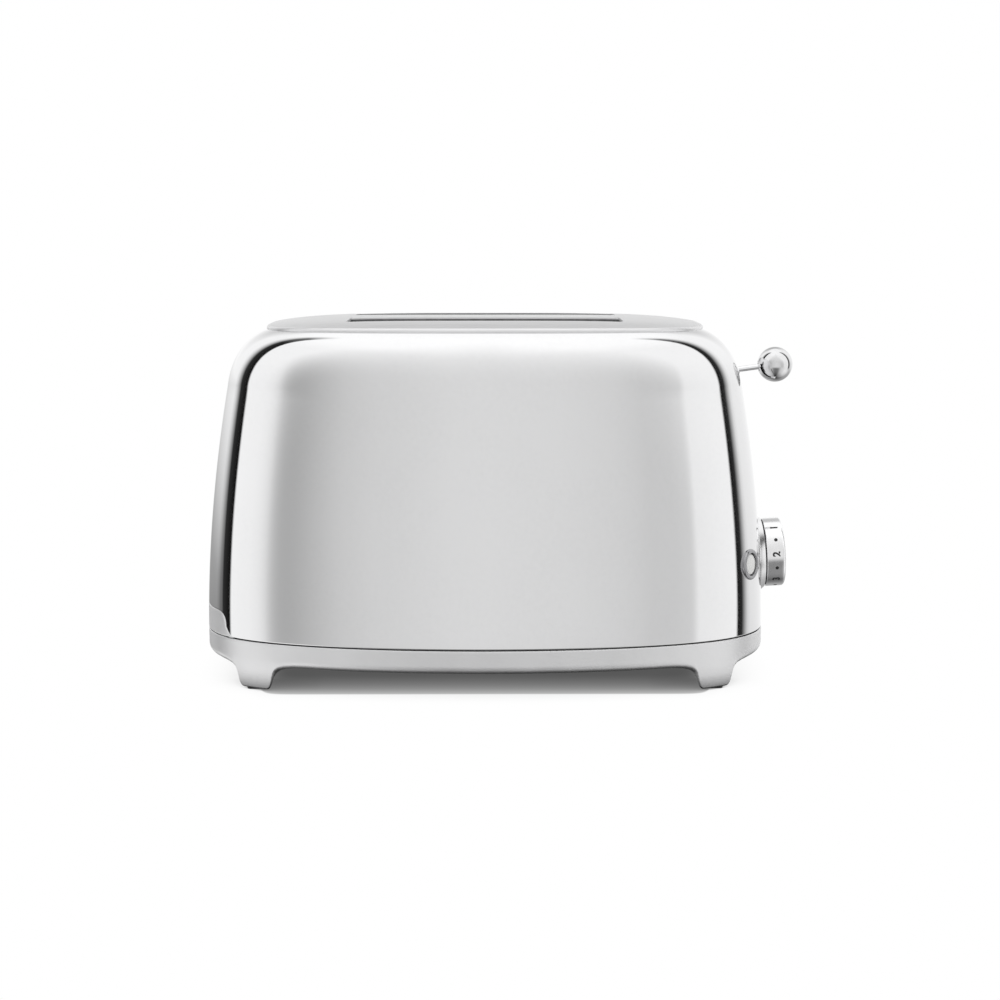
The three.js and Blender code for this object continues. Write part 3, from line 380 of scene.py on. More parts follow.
def rampOf(tree, value, stops):
    # (position, colour) pairs, where one number is a grey
    node = addNode(tree, "ShaderNodeValToRGB", {"Fac": value})
    marks = node.color_ramp.elements
    for i, (position, colour) in enumerate(stops):
        mark = marks[i] if i < 2 else marks.new(position)
        mark.position = position
        mark.color = (*colour, 1) if isinstance(colour, tuple) else (colour, colour, colour, 1)
    return node.outputs["Color"]


# Shader groups that several finishes share
def makeBrushing():
    # long fine scratches along one direction, as height and as a mask for roughness
    tree, start, end = newGroup(
        "brushing", "ShaderNodeTree",
        {"Vector": (0, 0, 0), "Stretch": (20, 900, 900), "Cloud Scale": 30.0}, {"Height": 0.0, "Mask": 0.0})
    stretch = addNode(tree, "ShaderNodeVectorMath", {0: start["Vector"], 1: start["Stretch"]},
                      operation="MULTIPLY")
    fine = noiseOf(tree, stretch.outputs[0], 1, 3, 0.65)
    cloud = noiseOf(tree, start["Vector"], start["Cloud Scale"], 2)
    setInputs(tree, end, {"Height": fine, "Mask": reckon(tree, "MULTIPLY", fine, cloud)})
    return tree


def makeSmudges():
    # faint finger marks and polish clouds: two sizes of noise, cut to soft patches
    tree, start, end = newGroup(
        "smudges", "ShaderNodeTree",
        {"Vector": (0, 0, 0), "Scale": 25.0, "Low": 0.05, "High": 0.12}, {"Roughness": 0.0, "Mask": 0.0})
    big = noiseOf(tree, start["Vector"], start["Scale"], 4, 0.6, 0.4)
    small = noiseOf(tree, start["Vector"], reckon(tree, "MULTIPLY", start["Scale"], 14), 3, 0.7)
    patches = spread(tree, reckon(tree, "MULTIPLY", big, small), 0.18, 0.42)
    setInputs(tree, end, {"Roughness": spread(tree, patches, 0, 1, start["Low"], start["High"]),
                          "Mask": patches})
    return tree


def makeGrain():
    # moulded or cast grain: small cells broken up by noise
    tree, start, end = newGroup("grain", "ShaderNodeTree", {"Vector": (0, 0, 0), "Scale": 1500.0},
                                {"Height": 0.0, "Mask": 0.0})
    cells = addNode(tree, "ShaderNodeTexVoronoi", {"Vector": start["Vector"], "Scale": start["Scale"]},
                    feature="SMOOTH_F1")
    noise = noiseOf(tree, start["Vector"], reckon(tree, "MULTIPLY", start["Scale"], 0.45), 3)
    setInputs(tree, end, {"Height": reckon(tree, "ADD", cells.outputs["Distance"], noise),
                          "Mask": noiseOf(tree, start["Vector"], 40, 3)})
    return tree


brushing, smudges, grain = makeBrushing(), makeSmudges(), makeGrain()


# Finishes
def startFinish(name):
    material = bpy.data.materials.new(name)
    material.use_nodes = True
    tree = material.node_tree
    place = addNode(tree, "ShaderNodeTexCoord").outputs["Object"]
    return material, tree, tree.nodes["Principled BSDF"], place


def useGroup(tree, group, **inputs):
    inputs = {key.replace("_", " "): value for key, value in inputs.items()}
    return addNode(tree, "ShaderNodeGroup", inputs, node_tree=group).outputs


def bumpOf(tree, height, strength, distance, **below):
    inputs = {"Height": height, "Strength": strength, "Distance": distance, **below}
    return addNode(tree, "ShaderNodeBump", inputs).outputs["Normal"]


def polishedFinish(name, light, dark, low, high, waves=0.02 * mm, scale=25):
    # mirror-like metal: faint smudges in the roughness, drawn-sheet waves in the normal
    material, tree, shader, place = startFinish(name)
    marks = useGroup(tree, smudges, Vector=place, Scale=scale, Low=low, High=high)
    polish = useGroup(tree, brushing, Vector=place, Stretch=(2500, 2500, 60))
    wide = bumpOf(tree, noiseOf(tree, place, 9, 1), 1, waves * 20)
    setInputs(tree, shader, {
        "Metallic": 1, "Roughness": marks["Roughness"],
        "Base Color": rampOf(tree, marks["Mask"], [(0, light), (1, dark)]),
        "Normal": bumpOf(tree, polish["Height"], 0.15, waves / 4, Normal=wide)})
    return material


def brushedFinish(name, light, dark, low, high, stretch, depth=0.02 * mm, strength=0.4, metal=1):
    material, tree, shader, place = startFinish(name)
    lines = useGroup(tree, brushing, Vector=place, Stretch=stretch, Cloud_Scale=35)
    setInputs(tree, shader, {
        "Metallic": metal, "Roughness": spread(tree, lines["Mask"], 0.1, 0.45, low, high),
        "Base Color": rampOf(tree, lines["Height"], [(0.3, dark), (0.7, light)]),
        "Normal": bumpOf(tree, lines["Height"], strength, depth)})
    return material


def grainedFinish(name, light, dark, low, high, scale=1500, depth=0.02 * mm, strength=0.3, metal=0):
    material, tree, shader, place = startFinish(name)
    cells = useGroup(tree, grain, Vector=place, Scale=scale)
    setInputs(tree, shader, {
        "Metallic": metal, "Roughness": spread(tree, cells["Mask"], 0.3, 0.7, low, high),
        "Base Color": rampOf(tree, cells["Mask"], [(0.3, dark), (0.7, light)]),
        "Normal": bumpOf(tree, cells["Height"], strength, depth)})
    return material


def shadeRecess(material, stops, distance):
    # painted shade: the colour darkens where little light gets in
    tree = material.node_tree
    shader = tree.nodes["Principled BSDF"]
    openness = addNode(tree, "ShaderNodeAmbientOcclusion", {"Distance": distance}, samples=16)
    both = addNode(tree, "ShaderNodeMix", {"Factor": 1, 6: shader.inputs["Base Color"].links[0].from_socket,
                                           7: rampOf(tree, openness.outputs["AO"], stops)},
                   data_type="RGBA", blend_type="MULTIPLY")
    setInputs(tree, shader, {"Base Color": both.outputs[2]})


sheetGrain = (220, 220, 160)  # plated and dark sheet
satinLook = (0.16, 0.24, (700, 700, 40), 0.01 * mm, 0.15)  # the knob, its bezel and the button rings
chromeLook = (0.04, 0.09, 0.005 * mm, 60)
polishedSteel = polishedFinish("polishedSteel", (0.8, 0.8, 0.805), (0.785, 0.785, 0.79), 0.045, 0.085)
chromeTrim = polishedFinish("chromeTrim", (0.94, 0.94, 0.95), (0.88, 0.88, 0.89), *chromeLook)
# painted shade: the lever ball takes a darker copy of the chrome
ballChromePaintedShade = polishedFinish("ballChromePaintedShade", (0.76, 0.76, 0.765), (0.68, 0.68, 0.685), *chromeLook)
brushedTop = brushedFinish("brushedTop", (0.8, 0.8, 0.805), (0.72, 0.72, 0.725), 0.34, 0.44,
                           (25, 1800, 1800), 0.02 * mm, 0.3, 0.85)
satinBase = grainedFinish("satinBase", (0.8, 0.8, 0.805), (0.75, 0.75, 0.755), 0.4, 0.48,
                          2200, 0.01 * mm, 0.25, 0.85)
# painted shade: the satin base gets darker in its recesses and undersides
shadeRecess(satinBase, [(0, 0.02), (0.35, 0.07), (0.5, 0.5), (0.62, 1)], 35 * mm)
satinKnob = brushedFinish("satinKnob", (0.86, 0.86, 0.865), (0.8, 0.8, 0.805), *satinLook)
# painted shade: the button rings take a darker copy of the knob's satin look
ringSatinPaintedShade = brushedFinish("ringSatinPaintedShade", (0.4, 0.4, 0.41), (0.34, 0.34, 0.35), *satinLook)
knobChrome = brushedFinish("knobChrome", (0.92, 0.92, 0.925), (0.86, 0.86, 0.865), *satinLook)
slotShadeSheet = brushedFinish("slotShadeSheet", (0.3, 0.3, 0.305), (0.2, 0.2, 0.205), 0.4, 0.5, sheetGrain)
platedSheet = brushedFinish("platedSheet", (0.66, 0.67, 0.68), (0.52, 0.53, 0.54), 0.28, 0.45, sheetGrain)
steelWire = brushedFinish("steelWire", (0.66, 0.66, 0.67), (0.5, 0.5, 0.51), 0.25, 0.4, (900, 900, 120))
blackRubber = grainedFinish("blackRubber", (0.035, 0.035, 0.035), (0.022, 0.022, 0.022), 0.7, 0.85, 1800)
blackPlastic = grainedFinish("blackPlastic", (0.04, 0.04, 0.043), (0.028, 0.028, 0.03), 0.45, 0.6, 1600)
whiteButton = grainedFinish("whiteButton", (0.8, 0.8, 0.79), (0.76, 0.76, 0.75), 0.22, 0.32,
                            1200, 0.005 * mm, 0.2)
whiteInsulator = grainedFinish("whiteInsulator", (0.74, 0.73, 0.7), (0.66, 0.65, 0.62), 0.5, 0.65, 900)
micaCard = brushedFinish("micaCard", (0.46, 0.37, 0.23), (0.34, 0.26, 0.15), 0.4, 0.6, (90, 90, 30), metal=0)
heaterRibbon = brushedFinish("heaterRibbon", (0.42, 0.38, 0.35), (0.26, 0.23, 0.21), 0.35, 0.5,
                             (60, 900, 900))
circuitBoard = grainedFinish("circuitBoard", (0.05, 0.17, 0.07), (0.03, 0.11, 0.05), 0.25, 0.4, 600)
copperWinding = brushedFinish("copperWinding", (0.62, 0.3, 0.15), (0.4, 0.17, 0.08), 0.25, 0.4,
                              (60, 60, 2200))
blackPrint = grainedFinish("blackPrint", (0.018, 0.018, 0.018), (0.012, 0.012, 0.012), 0.35, 0.5, 2500)
print("finishes made")


# The body's form: a superellipse plan that leans in, then rounds over to the rim
shellBox, baseBox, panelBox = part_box("body_shell"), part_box("base"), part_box("top_panel")
bodyForm = {
    "middle": (baseBox[0].x + baseBox[1].x) / 2,
    "halfX": (baseBox[1].x - baseBox[0].x) / 2,
    "halfY": (baseBox[1].y - baseBox[0].y) / 2,
    "rimX": (panelBox[1].x - panelBox[0].x) / 2,
    "rimY": (panelBox[1].y - panelBox[0].y) / 2,
    "seam": shellBox[0].z - 0.6 * mm,
    "rim": shellBox[1].z,
    "shoulderRise": 30.8 * mm,
    "endDraft": 12.8 * mm,
    "faceDraft": 9.5 * mm,
    "leanPower": 1.85,
    "endPower": 1.95,
    "facePower": 3.77,
    "rimPower": 3.6,
    "shoulderStart": 8.2,
    "shoulderEnd": 71.8,
    "columns": 288,
}
middleX, seam, rim = bodyForm["middle"], bodyForm["seam"], bodyForm["rim"]
leftEnd, rightEnd = middleX - bodyForm["halfX"], middleX + bodyForm["halfX"]


def wallLevel(z, out=0.0):
    # half sizes, powers and height of the plan's outline at a height of the wall
    form = bodyForm
    lean = max((z - seam) / (rim - form["shoulderRise"] - seam), 0) ** form["leanPower"]
    return (form["halfX"] - form["endDraft"] * lean + out, form["halfY"] - form["faceDraft"] * lean + out,
            form["endPower"], form["facePower"], z)


def shoulderLevel(share, out=0.0):
    form = bodyForm
    start, end = math.radians(form["shoulderStart"]), math.radians(form["shoulderEnd"])
    angle = mixed(start, end, share)
    inward = (math.cos(start) - math.cos(angle)) / (math.cos(start) - math.cos(end))
    upward = (math.sin(angle) - math.sin(start)) / (math.sin(end) - math.sin(start))
    side = out * math.cos(angle)
    return (mixed(form["halfX"] - form["endDraft"], form["rimX"], inward) + side,
            mixed(form["halfY"] - form["faceDraft"], form["rimY"], inward) + side,
            mixed(form["endPower"], form["rimPower"], inward),
            mixed(form["facePower"], form["rimPower"], inward),
            rim - form["shoulderRise"] * (1 - upward) + out * math.sin(angle))


def rimLevel(inset, z):
    form = bodyForm
    return form["rimX"] - inset, form["rimY"] - inset, form["rimPower"], form["rimPower"], z


def polarReach(angles, level):
    # distance from the middle to the outline in each direction, by halving
    halfX, halfY, endPower, facePower, _ = level
    c = np.abs(np.cos(angles)) / halfX
    s = np.abs(np.sin(angles)) / halfY
    low = np.zeros_like(angles)
    high = np.full_like(angles, halfX * 1.5)
    for _ in range(44):
        middle = (low + high) / 2
        small = (middle * c) ** endPower + (middle * s) ** facePower < 1
        low = np.where(small, middle, low)
        high = np.where(small, high, middle)
    return (low + high) / 2


def evenAngles(level, count, steps=6001, density=None):
    # directions of points at equal steps along the outline, or at steps of equal weight
    grid = np.linspace(0, math.tau, steps)
    reach = polarReach(grid, level)
    x, y = reach * np.cos(grid), reach * np.sin(grid)
    length = np.hypot(np.diff(x), np.diff(y))
    if density:
        length = length / mm * density(x[1:])
    total = np.concatenate([[0], np.cumsum(length)])
    count = count or int(total[-1] / 2) * 2
    return np.interp(np.arange(count) / count * total[-1], total, grid)


columnAngles = evenAngles(wallLevel(0.1), bodyForm["columns"])


def planRing(level, angles=columnAngles):
    reach = polarReach(angles, level)
    return [(middleX + r * math.cos(a), r * math.sin(a), level[4]) for r, a in zip(reach, angles)]


def endWall(y, z, side, out=0.0):
    # the wall's point on the left or right end, at a place across it and a height
    halfX, halfY, endPower, facePower, _ = wallLevel(z, out)
    across = max(1 - abs(y / halfY) ** facePower, 0)
    return Vector((middleX + side * halfX * across ** (1 / endPower), y, z))


# Body shell
shellSizes = {
    "wall": 1 * mm,
    "ledge": 8 * mm,
    "wallRows": 30,
    "shoulderRows": 26,
    "edgeSteps": 5,
    "slotHalf": 4.2 * mm,
    "slotSpan": (112.18 * mm, 171.17 * mm),
    "knobHole": 4.9 * mm,
    "ringHole": 7.5 * mm,
}
trayFrontSizes = {
    "top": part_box("tray_front")[1].z,
    "foot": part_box("tray_front")[1].y,
    "taper": 3.5 * mm,
    "corner": 8 * mm,
    "wall": 2.5 * mm,
    "gap": 0.3 * mm,
    "edge": 0.7 * mm,
}
leftward = Matrix(((0, 0, 1, 0), (1, 0, 0, 0), (0, 1, 0, 0), (0, 0, 0, 1)))  # (y, z, x) to (x, y, z)
joints = {joint["name"]: joint for joint in frame["joints"]}
knobPlace = axisPlace(Vector(joints["browning_turn"]["pos_m"]), joints["browning_turn"]["axis"])


def curvePoints(a, b, c, steps):
    # quadratic curve from a by b to c, without its last point
    shares = [i / steps for i in range(steps)]
    return [tuple((1 - t) ** 2 * p + 2 * t * (1 - t) * q + t * t * r for p, q, r in zip(a, b, c))
            for t in shares]


def trayOutline(margin, bottom):
    # outline of the tray's front across the left end, as (y, z), counterclockwise seen from +x
    foot, top = trayFrontSizes["foot"] + margin, trayFrontSizes["top"] + margin
    radius = trayFrontSizes["corner"] + margin
    head = foot - trayFrontSizes["taper"]
    start = seam + 0.6 * mm
    bend = (mixed(head, foot, 0.35), mixed(start, top - radius, 0.45))
    outline = [(-foot, bottom), (foot, bottom)]
    outline += curvePoints((foot, start), bend, (head, top - radius), 8)
    outline += curvePoints((head, top - radius), (head, top), (head - radius, top), 10)
    outline += curvePoints((radius - head, top), (-head, top), (-head, top - radius), 10)
    outline += curvePoints((-head, top - radius), (-bend[0], bend[1]), (-foot, start), 8)
    return outline + [(-foot, start)]


def trayOpening(bottom):
    return extrudeShape("trayOpening", trayOutline(trayFrontSizes["gap"], bottom), leftward,
                        leftEnd - 5 * mm, leftEnd + 60 * mm)


def buttonPlace(word):
    wallPoint = endWall(-55 * mm if word == "front" else 55 * mm, 65.5 * mm, 1)
    return axisPlace(wallPoint, -Vector(joints[word + "_button_press"]["axis"]))


def makeShell(wall, ledge, wallRows, shoulderRows, edgeSteps, slotHalf, slotSpan, knobHole, ringHole):
    low = shellBox[0].z
    start, shoulder = low + wall / 2, rim - bodyForm["shoulderRise"]

    def edgeLevel(degrees):
        # a row on the round lower edge
        angle = math.radians(degrees)
        level = wallLevel(low, wall / 2 * (math.cos(angle) - 1))
        return level[:4] + (start + wall / 2 * math.sin(angle),)

    heights = [mixed(start, shoulder, i / wallRows) for i in range(wallRows)]
    shares = [i / shoulderRows for i in range(shoulderRows + 1)]
    rows = [edgeLevel(-90 + 90 * i / edgeSteps) for i in range(edgeSteps)]
    rows += [wallLevel(z) for z in [start, start + 0.1 * mm, start + 0.5 * mm] + heights[1:]]
    rows += [shoulderLevel(share) for share in shares]
    rows += [rimLevel(ledge, rim), rimLevel(ledge, rim - wall)]
    rows += [shoulderLevel(share, -wall) for share in reversed(shares)]
    rows += [wallLevel(z, -wall) for z in reversed(heights)]
    rows += [edgeLevel(180 + 90 * i / edgeSteps) for i in range(1, edgeSteps)]
    shell = makePiece("bodyShell", *skinRings([planRing(row) for row in rows], closed=True),
                      polishedSteel, 50)
    whole = addObject("whole", shell.data.copy())

    bottom, top = slotSpan
    slot = roundedBox((0, (top + bottom) / 2), slotHalf * 2, top - bottom, slotHalf * 0.999, 10, 2.5 * mm)
    tools = [trayOpening(low - 5 * mm),
             extrudeShape("leverSlot", slot, leftward, rightEnd - 40 * mm, rightEnd + 5 * mm)]
    for place, radius in ((knobPlace, knobHole), (buttonPlace("front"), ringHole),
                          (buttonPlace("rear"), ringHole)):
        tools.append(makeCylinder(place, radius, -8 * mm, 6 * mm, 48))
    cutAway(shell, tools)
    # the cut faces take their shading from the whole shell
    smooth(shell, 50)
    carry = shell.modifiers.new("carry", "DATA_TRANSFER")
    carry.object = whole
    carry.use_loop_data = True
    carry.data_types_loops = {"CUSTOM_NORMAL"}
    carry.loop_mapping = "POLYINTERP_NEAREST"
    bake(shell)
    drop(whole)
    settle(shell, "root", "polished_steel", "body_shell")


makeShell(**shellSizes)
print("body shell made")


# Top panel, and a dark sleeve inside each slot as painted shade
panelSizes = {
    "rimHeight": 1.8 * mm,
    "crown": 3.97 * mm,
    "crownPower": 5.5,
    "edge": 1.5 * mm,
    "sunk": 0.1 * mm,
    "slotLength": 149 * mm,
    "slotWidth": 34 * mm,
    "slotSpacing": 62 * mm,
    "slotCorner": 3 * mm,
    "slotEdge": 0.5 * mm,
    "thickness": 0.9 * mm,
    "grid": 3.6 * mm,
    "insets": (0, 0.06, 0.2, 0.42, 0.7, 1.05, 1.5, 1.9, 2.6),  # rows beside a border, in mm
    "lips": (2, 4, 7),  # rows down a slot's wall, in mm below the top
    # a shade sleeve's section: mm in from the slot's wall and mm below its upper edge, None at the bottom
    "shadeSleeve": ((0.02, None), (0.02, 0.2), (0.2, 0), (0.5, 0), (0.7, 0.2), (0.7, None)),
    "shadeSleeveDrop": {"front": 1.1 * mm, "rear": 0.3 * mm},
}


def slotMiddle(side):
    return middleX, side * panelSizes["slotSpacing"] / 2


def slotOutline(side):
    sizes = panelSizes
    return roundedBox(slotMiddle(side), sizes["slotLength"], sizes["slotWidth"], sizes["slotCorner"],
                      8, 2.4 * mm)


def onDome(x, y, fall=0):
    # a point on the panel's domed top or below it
    power = bodyForm["rimPower"]
    reach = abs((x - middleX) / bodyForm["rimX"]) ** power + abs(y / bodyForm["rimY"]) ** power
    dome = 1 - min(reach, 1) ** (panelSizes["crownPower"] / power)
    return Vector((x, y, rim + panelSizes["rimHeight"] + panelSizes["crown"] * dome - fall))


def makePanel():
    sizes = panelSizes
    outer = [p[:2] for p in planRing(rimLevel(0, 0), evenAngles(rimLevel(0, 0), 320))]

    def place(x, y, inset):
        # the edges are rounded, those of the slots less than the outer one
        radius = sizes["edge"]
        for side in (-1, 1):
            awayX, awayY = abs(x - middleX), abs(y - slotMiddle(side)[1])
            if awayX < sizes["slotLength"] / 2 + 4 * mm and awayY < sizes["slotWidth"] / 2 + 4 * mm:
                radius = sizes["slotEdge"]
        left = max(radius - inset, 0)
        return onDome(x, y, radius - math.sqrt(max(radius * radius - left * left, 0)))

    def level(z):
        return lambda x, y: Vector((x, y, z))

    lips = [lambda x, y, fall=fall * mm: onDome(x, y, fall) for fall in sizes["lips"]]
    points, faces = sheetMesh(outer, [slotOutline(-1), slotOutline(1)], [i * mm for i in sizes["insets"]],
                              sizes["grid"], place, [level(rim - sizes["sunk"])],
                              lips + [level(panelBox[0].z)])
    panel = makePiece("topPanel", points, faces, brushedTop, 40)
    walls = panel.modifiers.new("walls", "SOLIDIFY")
    walls.thickness = sizes["thickness"]
    walls.offset = -1
    walls.use_even_offset = True
    bake(panel)
    smooth(panel, 40)
    settle(panel, "root", "brushed_top", "top_panel")

    for side, word in ((-1, "front"), (1, "rear")):
        rings = []
        for inset, fall in sizes["shadeSleeve"]:
            outline = insetOutline(slotOutline(side), inset * mm)
            if fall is None:
                rings.append([(x, y, panelBox[0].z + 0.1 * mm) for x, y in outline])
            else:
                rings.append([onDome(x, y, sizes["shadeSleeveDrop"][word] + fall * mm) for x, y in outline])
        # painted shade: a dark sheet down the slot's wall
        shadeLiner = makePiece("slotShadeLiner." + word, *skinRings(rings, closed=True), slotShadeSheet, 40)
        settle(shadeLiner, "root", "plated_sheet")


makePanel()
print("top panel and liners made")


# Base ring with its four feet, the pads under them and the screws
baseSizes = {
    "bottom": 14 * mm,
    "edge": 4.5 * mm,
    "edgeSteps": 10,
    "faceRows": 12,
    "wall": 3 * mm,
    "floor": 2.5 * mm,
    "flange": 20 * mm,
    "lipInset": 1.3 * mm,
    "lipHeight": 3 * mm,
    "topRound": 0.5 * mm,
    "footSpacing": 124 * mm,
    "footInner": 44 * mm,
    "footInset": 2.4 * mm,
    "footBottom": 1.1 * mm,
    "footEdge": 1 * mm,
    "glandHole": 3.9 * mm,
    "screwHole": 3.7 * mm,
    "screwDepth": 1.6 * mm,
    # lower line beside a foot: distance from its middle and height, in mm
    "flare": [(0, 1.1), (6.9, 1.1), (7.8, 1.6), (8.5, 2.6), (9, 4), (9.6, 6.5), (10.3, 8.7), (11.4, 10.7),
              (13.5, 12.2), (17, 13.2), (22, 13.8), (28, 14)],
}
padSizes = {
    "inset": (1 * mm, 2.6 * mm),
    "corner": 2 * mm,
    "edge": ((0.3, 0), (0.1, 0.1), (0, 0.35)),  # inset and height, in mm
    "pocket": 2.3 * mm,
    "pocketGap": 0.2 * mm,
}
screwSizes = {
    "head": 3.2 * mm,
    "headHeight": 1.3 * mm,
    "headRound": 0.5 * mm,
    "shank": 1.7 * mm,
    "pitch": 0.7 * mm,
    "thread": 0.25 * mm,
    "cross": (1.9 * mm, 0.42 * mm),
    "crossDepth": 0.9 * mm,
}
flat = Matrix.Identity(4)


def cornerBoxes(start):
    # the four corners' words and the box of the node there
    for sideY in ("front", "rear"):
        for sideX in ("left", "right"):
            yield sideY, sideX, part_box(start + sideY + "_" + sideX)


def middleOf(box):
    return (box[0] + box[1]) / 2


def makeScrews(head, headHeight, headRound, shank, pitch, thread, cross, crossDepth):
    foot = baseSizes["bottom"] + 0.2 * mm
    under = foot + headHeight
    screws, nodes = [], []
    for sideY, sideX, box in cornerBoxes("base_screw_"):
        middle, top = middleOf(box), box[1].z
        profile = [(0, foot)] + roundCorner((head - headRound, foot + headRound), headRound, -90, 0, 5)
        profile += [(head, under), (shank, under)]
        z = under + 0.3 * mm
        while z < top - pitch:
            profile += [(shank, z), (shank - thread, z + pitch / 2)]
            z += pitch
        profile += [(shank - 0.3 * mm, top), (0, top)]
        place = Matrix.Translation((middle.x, middle.y, 0))
        screw = turnedPiece("screw", profile, place, steelWire, 36)
        cuts = []
        for x, y in (cross, cross[::-1]):
            outline = [(-x, -y), (x, -y), (x, y), (-x, y)]
            cuts.append(extrudeShape("cross", outline, place, foot - 1 * mm, foot + crossDepth))
        cutAway(screw, cuts)
        screws.append(screw)
        nodes.append("base_screw_" + sideY + "_" + sideX)
    piece = joinPieces("baseScrews", screws, steelWire)
    smooth(piece, 30)
    settle(piece, "root", "steel_wire", *nodes)


def makePads(inset, corner, edge, pocket, pocketGap):
    # returns the tools that cut the pads' pockets into the feet
    tools = []
    for sideY, sideX, box in sorted(cornerBoxes("foot_pad_"), key=lambda corner: corner[1]):
        size, middle = box[1] - box[0], middleOf(box)
        outline = roundedBox(middle, size.x - inset[0] * 2, size.y - inset[1] * 2, corner, 6, 2.5 * mm)
        rings = [[(x, y, z * mm) for x, y in insetOutline(outline, r * mm)] for r, z in edge]
        rings.append([(x, y, box[1].z) for x, y in insetOutline(outline, 0)])
        pad = makePiece("footPad." + sideY + "." + sideX, *skinRings(rings), blackRubber, 40)
        settle(pad, "root", "black_rubber", "foot_pad_" + sideY + "_" + sideX)
        tools.append(extrudeShape("pocket", insetOutline(outline, -pocketGap), flat, -1 * mm, pocket))
    return tools


def flareHeights():
    # the flare on a fine grid, smoothed, as (distances, heights) in metres
    far, high = zip(*baseSizes["flare"])
    grid = np.arange(-40, 40.01, 0.1)
    raw = np.interp(np.abs(grid), far, high)
    kernel = np.hanning(13)
    even = np.convolve(np.pad(raw, 6, mode="edge"), kernel / kernel.sum(), mode="valid")
    return grid * mm, even * mm


def footDensity(x):
    # columns for each two millimetres of the ring, closer together at the feet
    beside = np.abs(np.abs(x) - baseSizes["footSpacing"]) / mm
    return 1 / 2.4 + np.where(beside < 12, 1 / 0.45, 0) + np.where(beside < 22, 1 / 1.6, 0)


def makeBase():
    sizes = baseSizes
    low, floor = sizes["bottom"], sizes["bottom"] + sizes["floor"]
    level = wallLevel(seam)
    halfX, halfY, endPower, facePower, _ = level
    angles = evenAngles(level, None, 40001, footDensity)
    reach = polarReach(angles, level)
    x, y = reach * np.cos(angles), reach * np.sin(angles)
    line, outSide = np.stack([x, y], 1), np.sign(y)
    normal = np.stack([np.sign(x) * endPower * np.abs(x / halfX) ** (endPower - 1) / halfX,
                       outSide * facePower * np.abs(y / halfY) ** (facePower - 1) / halfY], 1)
    normal /= np.linalg.norm(normal, axis=1)[:, None]
    # lower line, edge radius and how much of a foot each column is
    bottom = np.interp(np.abs(x) - sizes["footSpacing"], *flareHeights())
    share = (bottom - sizes["footBottom"]) / (low - sizes["footBottom"])
    edge = mixed(sizes["footEdge"], sizes["edge"], share ** 1.5)
    foot = np.clip((1 - share) * 3, 0, 1)
    under = mixed(line - normal * sizes["flange"],
                  np.stack([x, outSide * sizes["footInner"]], 1), foot[:, None])
    rings = []

    def ring(plan, z):
        heights = np.broadcast_to(z, x.shape).tolist()
        rings.append([(middleX + px, py, h) for (px, py), h in zip(plan.tolist(), heights)])

    def moved(inset, z):
        # the plan's line moved in; the feet also lean in towards their tips
        lean = sizes["footInset"] * np.clip(1 - (z + 0 * x) / (low + sizes["edge"]), 0, 1) ** 1.4 * foot
        return line - normal * (inset + 0 * x)[:, None] - np.stack([0 * x, outSide * lean], 1)

    def wall(inset, z):
        ring(moved(inset, z), z)

    for i in range(5):
        angle = math.radians(90 * (1 - i / 4))
        wall(sizes["topRound"] * (1 - math.cos(angle)), seam - sizes["topRound"] * (1 - math.sin(angle)))
    for i in range(1, sizes["faceRows"] + 1):
        wall(0, mixed(seam - sizes["topRound"], bottom + edge, i / sizes["faceRows"]))
    for i in range(1, sizes["edgeSteps"] + 1):
        angle = math.radians(90 * i / sizes["edgeSteps"])
        wall(edge * (1 - math.cos(angle)), bottom + edge * (1 - math.sin(angle)))
    for i in range(1, 5):
        ring(mixed(moved(edge, bottom), under, i / 4), bottom)
    for i in range(1, 4):
        ring(under, mixed(bottom, floor, i / 3))
    for inset, z in ((sizes["wall"], floor), (sizes["wall"], seam + sizes["lipHeight"]),
                     (sizes["lipInset"], seam + sizes["lipHeight"]), (sizes["lipInset"], seam)):
        wall(inset, z)
    base = makePiece("base", *skinRings(rings, closed=True), satinBase, 40)

    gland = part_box("cord_gland")
    hole = middleOf(gland)
    hole.y = gland[0].y
    tools = [trayOpening(seam), makeCylinder(axisPlace(hole, (0, 1, 0)), sizes["glandHole"], -5 * mm, 20 * mm)]
    tools += makePads(**padSizes)
    for _, _, box in cornerBoxes("base_screw_"):
        place = Matrix.Translation((middleOf(box).x, middleOf(box).y, 0))
        tools.append(makeCylinder(place, sizes["screwHole"], low - 2 * mm, low + sizes["screwDepth"]))
    cutAway(base, tools)
    smooth(base, 38)
    settle(base, "root", "satin_base", "base")


makeBase()
makeScrews(**screwSizes)
print("base, pads and screws made")


# The tray's front, flush with the body's left end
def makeTrayFront():
    edge = trayFrontSizes["edge"]
    rough = trayOutline(0, seam + 0.3 * mm)
    clean = [rough[0]]
    for point in rough[1:]:
        if math.dist(point, clean[-1]) > 0.05 * mm:
            clean.append(point)
    outline = spacedOut(clean, 2 * mm)

    def onEnd(y, z, inset):
        left = max(edge - inset, 0)
        return endWall(y, z, -1, math.sqrt(max(edge * edge - left * left, 0)) - edge)

    skirt = [lambda y, z, depth=depth: endWall(y, z, -1, -depth)
             for depth in (1.5 * mm, trayFrontSizes["wall"])]
    insets = [i * mm for i in (0, 0.08, 0.22, 0.45, 0.7, 1.2)]
    points, faces = sheetMesh(outline, [], insets, 2.6 * mm, onEnd, skirt)
    faces.append(tuple(range(len(points) - len(outline), len(points))))
    settle(makePiece("trayFront", points, faces, satinBase, 40), "tray", "satin_base", "tray_front")


makeTrayFront()
print("tray front made")


# Lever: ball and rod
leverSizes = {
    "ballRadius": 9.9 * mm,
    "rodRadius": 1.55 * mm,
    "rodAngle": 8,
    "neck": 2.9 * mm,
    "ballSteps": 56,
}


